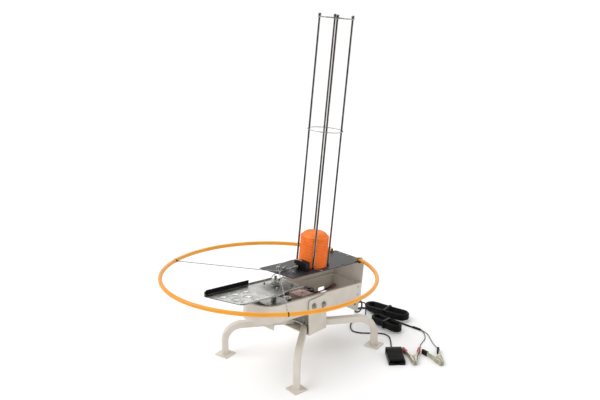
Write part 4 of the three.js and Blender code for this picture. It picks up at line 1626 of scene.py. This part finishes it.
@dataclass(frozen=True)
class Hank:
    """Cord folded into flat laps in two columns, one inside the other, held by a tie."""

    x: float
    y: float
    turn: float
    half_run: float
    outer: float
    inner: float
    low: float
    rise: float
    laps: int
    hand: int = 1
    tie_width: float = 9.0
    tie_t: float = 1.2
    steps: int = 28

    def place(self) -> Matrix:
        """Returns the matrix from the hank's own axes to the ground's."""
        return Matrix.Translation((self.x, self.y, 0)) @ Matrix.Rotation(
            math.radians(self.turn), 4, "Z"
        )

    def track(self, s: float, r: float) -> tuple[float, float]:
        """Returns a lap's point at share s, clockwise from the middle of its far side.

        Args:
            s: The share of the lap, from 0 to 1.
            r: The radius of its ends.
        """
        h = self.half_run
        whole = 4 * h + 2 * math.pi * r
        d = (s % 1.0) * whole
        if d <= h:
            return d, r
        d -= h
        if d <= math.pi * r:
            a = math.pi / 2 - d / r
            return h + r * math.cos(a), r * math.sin(a)
        d -= math.pi * r
        if d <= 2 * h:
            return h - d, -r
        d -= 2 * h
        if d <= math.pi * r:
            a = -math.pi / 2 - d / r
            return -h + r * math.cos(a), r * math.sin(a)
        return -h + d - math.pi * r, r

    def line(self, half_more: bool) -> list[Vector]:
        """Returns the laps from the first far side to the last strand, in the ground's axes.

        Args:
            half_more: True if the cord goes half a lap farther before it leaves.
        """
        points = []
        up = self.laps * self.steps
        for i in range(up + 1):
            points.append((i / self.steps, self.outer, self.low + self.rise * i / self.steps))
        top = self.low + self.rise * self.laps
        half = self.steps // 2
        for i in range(1, half + 1):
            share = i / half
            r = self.outer + (self.inner - self.outer) * share
            points.append((0.5 * share, r, top))
        for i in range(1, up + 1):
            points.append((0.5 + i / self.steps, self.inner, top - self.rise * i / self.steps))
        if half_more:
            for i in range(1, half + 1):
                points.append((0.5 + 0.5 * i / half, self.inner, self.low - 0.6))
        place = self.place()
        line = []
        for s, r, z in points:
            along, across = self.track(s, r)
            line.append(place @ Vector((along, self.hand * across, z)))
        return line

    def tie(self, name: str, r: float) -> None:
        """Builds the strap round the hank's middle, with its buckle and tail.

        Args:
            name: The piece's name.
            r: The cord's radius.
        """
        half = self.outer + r + 0.3
        low, high = self.low - r - 0.9, self.low + self.rise * self.laps + r + 0.3
        mid, tall = (low + high) / 2, (high - low) / 2
        t, w = self.tie_t, self.tie_width / 2
        lay = Matrix(((0, 0, 1, 0), (1, 0, 0, 0), (0, 1, 0, mid), (0, 0, 0, 1)))
        band = Shape().slab(
            rounded_box(half + t, tall + t, 5 + t), -w, w, [rounded_box(half, tall, 5)], lay
        )
        band.box((-w - 1.5, -half - t - 2.2, mid - 5), (w + 1.5, -half - t, mid + 5))
        band.box((-w + 1, -half - t - 1.6, mid + 4), (w - 1, -half - t - 0.4, high + 4))
        mesh = band.mesh(name)
        mesh.transform(self.place())
        piece(name, mesh, BASE_PLACE, Finishes.ABS, "base", 0.3)


@dataclass
class Cords:
    """Battery cable with its two clip wires, and the foot switch's cord."""

    exit_v: float = 301.6
    exit_w: float = -190.0
    battery_u: float = 28.0
    pedal_u: float = 52.0
    battery_r: float = 3.5
    pedal_r: float = 2.5
    wire_r: float = 1.75
    battery_hank: Hank = Hank(58, 463, 8, 70, 28.5, 21.3, 11, 7, 3, -1)
    pedal_hank: Hank = Hank(125, 374, -3, 50, 21.5, 16, 8, 5, 5)

    def build(self, clips: "BatteryClips", pedal: "FootSwitch") -> None:
        """Builds the gland, the cords and their ties.

        Args:
            clips: The battery clips the wires end in.
            pedal: The foot switch the long cord ends in.
        """
        self._gland()
        self._battery_cable()
        for name, r, hank in (
            ("battery_hank_tie", self.battery_r, self.battery_hank),
            ("pedal_hank_tie", self.pedal_r, self.pedal_hank),
        ):
            hank.tie(name, r)
        self._clip_wire("red", clips)
        self._clip_wire("black", clips)
        self._pedal_cord(pedal)

    def _gland(self) -> None:
        """Builds the flange and its two tapered, ribbed bend reliefs."""
        w = self.exit_w
        flange = Shape().slab(
            rounded_box(23, 11, 3), 0, 4.0,
            turn=Matrix.Translation((40, 288.1, w)) @ Matrix.Rotation(math.pi / 2, 4, "X"),
        )
        piece(
            "gland_flange", flange.mesh("flange"), BODY_PLACE, Finishes.ABS, "thrower", 0.5,
            ["cord_gland"],
        )
        fasteners(
            "gland_screws", [(40, 288.1, w + 6), (40, 288.1, w - 6)],
            Turn=(-math.pi / 2, 0.0, 0.0), Head_Radius=2.4, Head_Height=1.4, Sides=20,
            Washer_Radius=2.8,
        )
        for word, u, r in (
            ("battery", self.battery_u, self.battery_r), ("pedal", self.pedal_u, self.pedal_r),
        ):
            profile = [(0, 0), (7.6, 0), (7.6, 2.2), (6.8, 3)]
            for i in range(4):
                z, wide = 4.5 + 4.2 * i, 6.6 - (5.6 - r) * i / 4
                neck = wide - 0.9
                profile += [(wide, z), (wide, z + 2.6), (neck, z + 3.1), (neck, z + 4.0)]
            profile += [(r + 0.7, 22.5), (r + 0.2, 23.5), (0, 23.5)]
            lie = Matrix.Translation((u, 283.9, w)) @ Matrix.Rotation(-math.pi / 2, 4, "X")
            relief = Shape().lathe(profile, lie, 28)
            piece(
                f"{word}_bend_relief", relief.mesh("relief"), BODY_PLACE, Finishes.RUBBER,
                "thrower",
            )

    def _lay(
        self, name: str, points: list[Vector], r: float, finish: Finish,
        instead_of: Sequence[str], step: float = 4.0,
    ) -> tuple[bpy.types.Object, list[Vector], float]:
        """Sweeps a cord along points.

        Args:
            name: The cord's name.
            points: The points it passes, in the ground's axes.
            r: Its radius.
            finish: Its finish.
            instead_of: The frame's nodes that it stands for.
            step: The spacing of the swept points.

        Returns:
            The cord's object, its path in the row frame and its length in metres.
        """
        line = smoothed(points, step)
        tube = Trees.TUBE.grow(seed_line(line), finish, Radius=r, Sides=10)
        made = piece(name, tube, BASE_PLACE, finish, None, 0.0, instead_of, 60)
        path = [BASE_PLACE @ p for p in line]
        length = sum((b - a).length for a, b in zip(path, path[1:]))
        LOG.info("cord %s: %.3f m", name, length)
        return made, path, length

    def _drop(self, made: bpy.types.Object) -> None:
        """Bakes a cord's object transform into its mesh."""
        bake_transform(made)

    def _battery_cable(self) -> None:
        """Builds the thick cable: drop, hank and lead, to the sleeve where its wires part."""
        start = body_point(self.battery_u, self.exit_v - 6, self.exit_w)
        out = body_point(self.battery_u, self.exit_v, self.exit_w)
        place = self.battery_hank.place()
        enter = [
            place @ Vector(p)
            for p in ((-102, 0, 4), (-86, -4, 4.2), (-60, -16, 5.4), (-32, -26.6, 8))
        ]
        leave = [Vector(p) for p in ((76, 442.6, 6.8), (98, 442.4, 4.6), (122, 441.6, 3.8))]
        drop = [
            (28, out.y + 12, out.z - 1.8), (25, 328, 101), (14, 348, 76), (-4, 366, 45),
            (-25, 379, 20), (-46, 387, 8), (-62, 398, 3.9), (-69, 416, 3.8), (-65.5, 434, 3.8),
            (-56, 444.4, 3.8),
        ]
        lead = [
            (150, 441, 3.7), (180, 442, 3.7), (212, 444, 3.7), (228, 445.5, 3.7), (242, 446, 3.7),
        ]
        laps = self.battery_hank.line(True)
        points = [start, out, *map(Vector, drop), *enter, *laps, *leave, *map(Vector, lead)]
        made, path, length = self._lay(
            "battery_cable", points, self.battery_r, Finishes.JACKET,
            ["battery_cable_tube", "battery_cable_hank", "battery_lead_tube"],
        )
        self._drop(made)
        sleeve = Shape().rod((206, 443.6, 4.6), (212, 444.1, 4.6), 3.9, 4.6)
        sleeve.rod((212, 444.1, 4.6), (229, 445.6, 4.6), 4.6)
        sleeve.rod((229, 445.6, 4.6), (246, 446.1, 4.6), 4.6, 4.3)
        end = piece(
            "wire_split_sleeve", sleeve.mesh("sleeve"), BASE_PLACE, Finishes.ABS, "base", 0.3
        )

    def _clip_wire(self, colour: str, clips: "BatteryClips") -> None:
        """Builds one thin wire from the sleeve into a clip's fixed handle.

        Args:
            colour: The clip's colour.
            clips: The battery clips.
        """
        route = {
            "red": [
                (243, 444.6, 4.4), (250, 442.6, 3.4), (263, 439, 2.4), (284, 421, 2.1),
                (300, 399, 2.1), (309, 374, 2.1), (316, 350, 2.1), (324, 334, 3.5), (333, 319, 7),
            ],
            "black": [
                (243, 447.6, 4.4), (250, 447.8, 3.4), (264, 446, 2.4), (286, 437, 2.1),
                (315, 414, 2.1), (343, 391, 2.1), (364, 376, 3.5), (380, 364, 7),
            ],
        }[colour]
        inside = [
            clips.place(colour) @ Vector(p)
            for p in ((32.3, 69, 10), (24, 42, 10), (15, 12, 10))
        ]
        made, path, length = self._lay(
            f"{colour}_clip_wire", [*map(Vector, route), *inside], self.wire_r,
            Finishes.GREY_WIRE, [f"{colour}_wire_tube"], 5.0,
        )
        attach(made, "base")

    def _pedal_cord(self, pedal: "FootSwitch") -> None:
        """Builds the foot switch's cord: drop, hank and the run over the ground."""
        start = body_point(self.pedal_u, self.exit_v - 6, self.exit_w)
        out = body_point(self.pedal_u, self.exit_v, self.exit_w)
        place = self.pedal_hank.place()
        enter, leave = (
            [place @ Vector(p) for p in part]
            for part in (
                ((-76, 9.5, 2.8), (-58, 12, 3.2), (-36, 17.5, 4.8), (-16, 20.8, 6.6)),
                ((-18, -14.8, 6.8), (-38, -11, 4.6), (-60, -5, 3.1), (-79, -2, 2.8)),
            )
        )
        drop = [
            (52, out.y + 11, out.z - 1.7), (50, 322, 103), (42, 340, 74), (32, 353, 44),
            (23, 363, 20), (16.5, 373, 7), (18, 383, 3.3), (26, 388.5, 2.8), (37, 388.5, 2.8),
        ]
        run = [
            (34, 374.5, 2.7), (22, 366, 2.7), (10, 350, 2.7), (0, 335, 2.7), (-4, 318, 2.7),
            (-2, 302, 2.7), (8, 285, 2.7), (28, 263, 2.7), (50, 251, 2.7), (76, 257, 2.7),
            (102, 276, 2.7), (130, 302, 2.7), (157, 317, 2.7), (183, 314, 2.7), (212, 289, 2.7),
            (240, 257, 2.7), (260, 237, 6),
        ]
        laps = self.pedal_hank.line(False)
        points = [
            start, out, *map(Vector, drop), *enter, *laps, *leave, *map(Vector, run),
            pedal.cord_entry(),
        ]
        made, path, length = self._lay(
            "pedal_cord", points, self.pedal_r, Finishes.JACKET,
            ["pedal_cord_drop", "pedal_cord_hank", "pedal_cord_tube"],
        )
        self._drop(made)


class BatteryClips:
    """Two spring clips that lie on their sides, each of two pressed levers on an upright pin."""

    AT = {"red": (368.0, 230.0, 44.2), "black": (437.0, 288.0, 59.3)}
    LOW, HIGH, PIN, BORE = 1.0, 19.0, 3.0, 2.4
    CHEEK = (
        (14, 22), (8, 15.5), (2, 8), (-3.5, 5.6), (-6.6, 0), (-4.6, -5), (0.5, -13), (0.8, -20),
        (0.6, -42), (7, -42), (10, -28), (13, -14), (15, 0),
    )
    WEB = (
        (7, -42), (10, -28), (13, -14), (15, 0), (19, 22), (33, 58), (30.5, 59), (16, 22.5),
        (12.4, 0), (10.6, -14), (7.6, -28), (4.6, -42),
    )
    SLEEVE = ((37, 66.5), (33, 69), (27.2, 67.5), (22, 54), (17.6, 42), (27.6, 40), (32, 52))

    def __init__(self) -> None:
        """Starts with no pieces."""
        self.pieces: dict[str, list[bpy.types.Object]] = {}

    def place(self, colour: str) -> Matrix:
        """Returns the matrix from a clip's own axes to the ground's."""
        x, y, turn = self.AT[colour]
        return Matrix.Translation((x, y, 0)) @ Matrix.Rotation(math.radians(turn), 4, "Z")

    def build(self) -> None:
        """Builds both clips."""
        for colour, vinyl in (("red", Finishes.RED_VINYL), ("black", Finishes.ABS)):
            place = BASE_PLACE @ self.place(colour)
            self.pieces[colour] = [
                *self._lever(colour, "fixed", 1, 0.0, place, vinyl, "base"),
                *self._lever(colour, "sprung", -1, 2.3, place, vinyl, f"{colour}_jaw"),
                *self._pin(colour, place),
            ]

    def _lever(
        self, colour: str, kind: str, hand: int, inset: float, place: Matrix,
        vinyl: Finish, body: str,
    ) -> list[bpy.types.Object]:
        """Builds a lever with its jaw teeth and its dipped sleeve.

        Args:
            colour: The clip's colour.
            kind: The lever's kind, as its node says.
            hand: 1 or -1, the side its handle is on.
            inset: How far its cheeks sit inside the clip's full width.
            place: The matrix to the row frame.
            vinyl: The sleeve's finish.
            body: The body it rides on.

        Returns:
            Its pieces.
        """
        low, high = self.LOW + inset, self.HIGH - inset

        def sided(points: Iterable[Point]) -> list[tuple[float, float]]:
            """Returns an outline turned to the lever's own side."""
            return [(hand * x, y) for x, y in points]

        hole = [circle(0, 0, 3.1, 20)] if kind == "sprung" else []
        steel = Shape()
        for z in (low, high - 2):
            steel.slab(sided(self.CHEEK), z, z + 2, hole)
        steel.slab(sided(self.WEB), self.LOW, self.HIGH)
        teeth = [(0.4 if i % 2 else 2.0, -41.5 + 2.5 * i) for i in range(11)]
        steel.slab(sided([*teeth, (4.4, -16.5), (4.2, -42)]), low + 2, high - 2)
        lever = piece(
            f"{colour}_clip_{kind}_steel", steel.mesh("lever"), place, Finishes.PASSIVATED,
            body, 0.4, [f"{colour}_clip_{kind}_lever"],
        )
        sleeve = Shape().slab(sided(self.SLEEVE), self.LOW - 0.6, self.HIGH + 0.6)
        grip = piece(
            f"{colour}_clip_{kind}_sleeve", sleeve.mesh("sleeve"), place, vinyl, body, 1.6
        )
        return [lever, grip]

    def _pin(self, colour: str, place: Matrix) -> list[bpy.types.Object]:
        """Builds the hollow rivet and the torsion spring on it.

        Args:
            colour: The clip's colour.
            place: The matrix to the row frame.

        Returns:
            Its pieces.
        """
        low, high, r, bore = self.LOW, self.HIGH, self.PIN, self.BORE
        profile = [
            (0, low + 1), (bore, low + 1), (bore, low - 0.6), (5.0, low - 0.6), (5.4, low),
            (r, low + 0.2), (r, high - 0.2), (5.4, high), (5.0, high + 0.9),
            (bore, high + 0.9), (bore, high - 12), (0, high - 12),
        ]
        rivet = piece(
            f"{colour}_clip_rivet", Shape().lathe(profile, sides=24).mesh("rivet"), place,
            Finishes.PASSIVATED, "base",
        )
        coil = Trees.COIL.grow(
            points_mesh([(0, 0, 6.5)]), Finishes.WIRE, Turns=4.0, Coil_Radius=4.6,
            Wire=0.8, Length=7.0,
        )
        wound = Shape().add(coil)
        for hand, z in ((1, 6.5), (-1, 13.5)):
            route = [(4.6, 0, z), (hand * 7, 8, z), (hand * 16, 28, z)]
            wound.add(bent_bar(route, Finishes.WIRE, 0.8, 8))
        spring = piece(
            f"{colour}_clip_spring", wound.mesh("spring"), place, Finishes.WIRE, "base"
        )
        return [rivet, spring]


@dataclass
class FootSwitch:
    """Foot switch on the ground: a moulded base with cheeks and a ribbed treadle."""

    x: float = 311.0
    y: float = 189.0
    turn: float = 46.5
    width: float = 63.0
    length: float = 98.0
    ribs: int = 9
    lean: float = 0.12

    def place(self) -> Matrix:
        """Returns the matrix from the switch's own axes to the ground's."""
        return Matrix.Translation((self.x, self.y, 0)) @ Matrix.Rotation(
            math.radians(self.turn), 4, "Z"
        )

    def cord_entry(self) -> Vector:
        """Returns the point inside the rear block where the cord ends."""
        return self.place() @ Vector((-1.0, self.length / 2 - 3.0, 9))

    def build(self) -> None:
        """Builds the base, its rear strip, the treadle and the cord's bush."""
        place = BASE_PLACE @ self.place()
        hw, hl = self.width / 2, self.length / 2
        base = Shape().slab(rounded_box(hw, hl, 5), 0, 5)
        for side in (-1, 1):
            cheek = sorted((side * hw, side * (hw - 4)))
            base.box((cheek[0], -hl, 1.0), (cheek[1], hl, 18))
            foot = sorted((side * hw, side * (hw - 20)))
            base.box((foot[0], -hl - 1, 0.2), (foot[1], -hl + 5, 9))
        base.box((-hw + 0.5, hl - 18, 4), (hw - 0.5, hl, 23))
        base.box((-10, 8, 4), (10, 22, 12))
        piece(
            "foot_switch_base", base.mesh("base"), place, Finishes.ABS, "base", 1.2,
            ["pedal_base"],
        )
        strip = Shape().slab(
            rounded_box(hw - 0.4, 8.6, 2), 22.6, 26, turn=Matrix.Translation((0, hl - 9, 0))
        )
        piece(
            "foot_switch_rear_strip", strip.mesh("strip"), place, Finishes.RUBBER_WORN,
            "base", 0.8,
        )
        lean = Matrix.Translation((0, 0, 20)) @ Matrix.Rotation(self.lean, 4, "X")
        tread = Shape().slab(
            rounded_box(hw - 5, hl - 13.5, 4), 0, 6, turn=lean @ Matrix.Translation((0, -7.5, 0))
        )
        tread.rod((-hw + 4.5, -hl + 10, 15.5), (hw - 4.5, -hl + 10, 15.5), 4)
        piece(
            "foot_switch_treadle", tread.mesh("tread"), place, Finishes.RUBBER, "treadle", 1.0,
            ["pedal_treadle"],
        )
        rib = Shape().box((-hw + 9, -1.2, 5.6), (hw - 9, 1.2, 7.2)).mesh("rib")
        ribs = Trees.ROW.grow(
            rib, Finishes.RUBBER_WORN, Count=self.ribs, Step=(0.0, 8.0, 0.0),
        )
        piece(
            "foot_switch_ribs", ribs, place @ lean @ Matrix.Translation((0, -36.5, 0)),
            Finishes.RUBBER_WORN, "treadle",
        )
        bush = Shape().rod((-1, hl - 1, 9), (-1, hl + 4.5, 9), 5.2, 3.6, 20)
        piece("foot_switch_bush", bush.mesh("bush"), place, Finishes.RUBBER, "base", 0.4)


# ---- studio --------------------------------------------------------------------------------------
@dataclass
class Studio:
    """Pale floor, soft lights and the camera."""

    eye: tuple[float, float, float] = (2.06241, -2.04735, 1.63706)
    aim: tuple[float, float, float] = (0.04454, 0.09514, 0.64041)
    lens: float = 51.94
    floor: float = 60.0
    sky: float = 0.74
    sun: float = 1.5
    sun_angle: float = 50.0
    sun_way: tuple[float, float, float] = (0.45, 0.62, -0.85)
    lamps: tuple[tuple[str, Point, float, float], ...] = (
        ("rim", (-1.6, 2.4, 2.2), 1.6, 14), ("fill", (2.6, -0.5, 0.75), 1.4, 8),
    )
    flag_radius: float = 1.15
    flag_height: float = 2.6
    flag_half_angle: float = 66.0
    flag_panels: int = 12

    def build(self) -> None:
        """Builds the camera, the floor and the lights."""
        scene = bpy.context.scene
        camera = bpy.data.objects.new("camera", bpy.data.cameras.new("camera"))
        camera.data.lens = self.lens
        camera.data.sensor_width = 36.0
        camera.location = self.eye
        look = Vector(self.aim) - Vector(self.eye)
        camera.rotation_euler = look.to_track_quat("-Z", "Y").to_euler()
        scene.collection.objects.link(camera)
        scene.camera = camera

        half = self.floor / 2
        sheet = bpy.data.meshes.new("floor")
        sheet.from_pydata(
            [(-half, -half, 0), (half, -half, 0), (half, half, 0), (-half, half, 0)], [],
            [(0, 1, 2, 3)],
        )
        paper = bpy.data.materials.new("studio_paper")
        paper.use_nodes = True
        shader = paper.node_tree.nodes["Principled BSDF"]
        shader.inputs["Base Color"].default_value = linear("FBFBFB")
        shader.inputs["Roughness"].default_value = 0.9
        sheet.materials.append(paper)
        floor = bpy.data.objects.new("floor", sheet)
        scene.collection.objects.link(floor)

        world = bpy.data.worlds.new("studio")
        scene.world = world
        world.use_nodes = True
        sky = world.node_tree.nodes["Background"]
        sky.inputs["Color"].default_value = linear("FFFFFF")
        sky.inputs["Strength"].default_value = self.sky
        sun = bpy.data.lights.new("sun", "SUN")
        sun.energy, sun.angle = self.sun, math.radians(self.sun_angle)
        lamp = bpy.data.objects.new("sun", sun)
        lamp.rotation_euler = Vector(self.sun_way).to_track_quat("-Z", "Y").to_euler()
        scene.collection.objects.link(lamp)
        for lamp_row in self.lamps:
            self._light(*lamp_row)
        self._flag()
        scene.view_settings.view_transform = "Standard"

    def _flag(self) -> None:
        """Stands a dark curved screen on the viewer's side, seen only in glossy reflections."""
        toward = math.atan2(self.eye[1] - self.aim[1], self.eye[0] - self.aim[0])
        corners = []
        for i in range(self.flag_panels + 1):
            share = 2 * i / self.flag_panels - 1
            a = toward + math.radians(self.flag_half_angle * share)
            x, y = self.flag_radius * math.cos(a), self.flag_radius * math.sin(a)
            corners += [(x, y, 0.0), (x, y, self.flag_height)]
        faces = [(2 * i, 2 * i + 1, 2 * i + 3, 2 * i + 2) for i in range(self.flag_panels)]
        sheet = bpy.data.meshes.new("flag")
        sheet.from_pydata(corners, [], faces)
        cloth = bpy.data.materials.new("black_cloth")
        cloth.use_nodes = True
        shader = cloth.node_tree.nodes["Principled BSDF"]
        shader.inputs["Base Color"].default_value = linear("1A1A1A")
        shader.inputs["Roughness"].default_value = 1.0
        sheet.materials.append(cloth)
        flag = bpy.data.objects.new("flag", sheet)
        flag.visible_camera = flag.visible_diffuse = flag.visible_shadow = False
        flag.visible_transmission = False
        bpy.context.scene.collection.objects.link(flag)

    def _light(self, name: str, at: Point, size: float, power: float) -> None:
        """Adds a square soft light aimed at the machine.

        Args:
            name: The light's name.
            at: Its place.
            size: Its side.
            power: Its power in watts.
        """
        data = bpy.data.lights.new(name, "AREA")
        data.shape, data.size, data.energy = "SQUARE", size, power
        lamp = bpy.data.objects.new(name, data)
        lamp.location = at
        lamp.rotation_euler = (Vector(self.aim) - Vector(at)).to_track_quat("-Z", "Y").to_euler()
        bpy.context.scene.collection.objects.link(lamp)


def main() -> None:
    """Builds the studio, the cords and every sub-assembly."""
    logging.basicConfig(level=logging.INFO, format="%(name)s: %(message)s")
    Studio().build()
    clips, pedal = BatteryClips(), FootSwitch()
    clips.build()
    pedal.build()
    Cords().build(clips, pedal)
    for assembly in (
        Stand(), Chassis(), DeckAndFeed(), Magazine(), ThrowingArm(), Drive(), PowerSwitch(),
        SafetyRing(),
    ):
        assembly.build()
        LOG.info("%s is done", type(assembly).__name__)


if __name__ == "__main__":
    main()
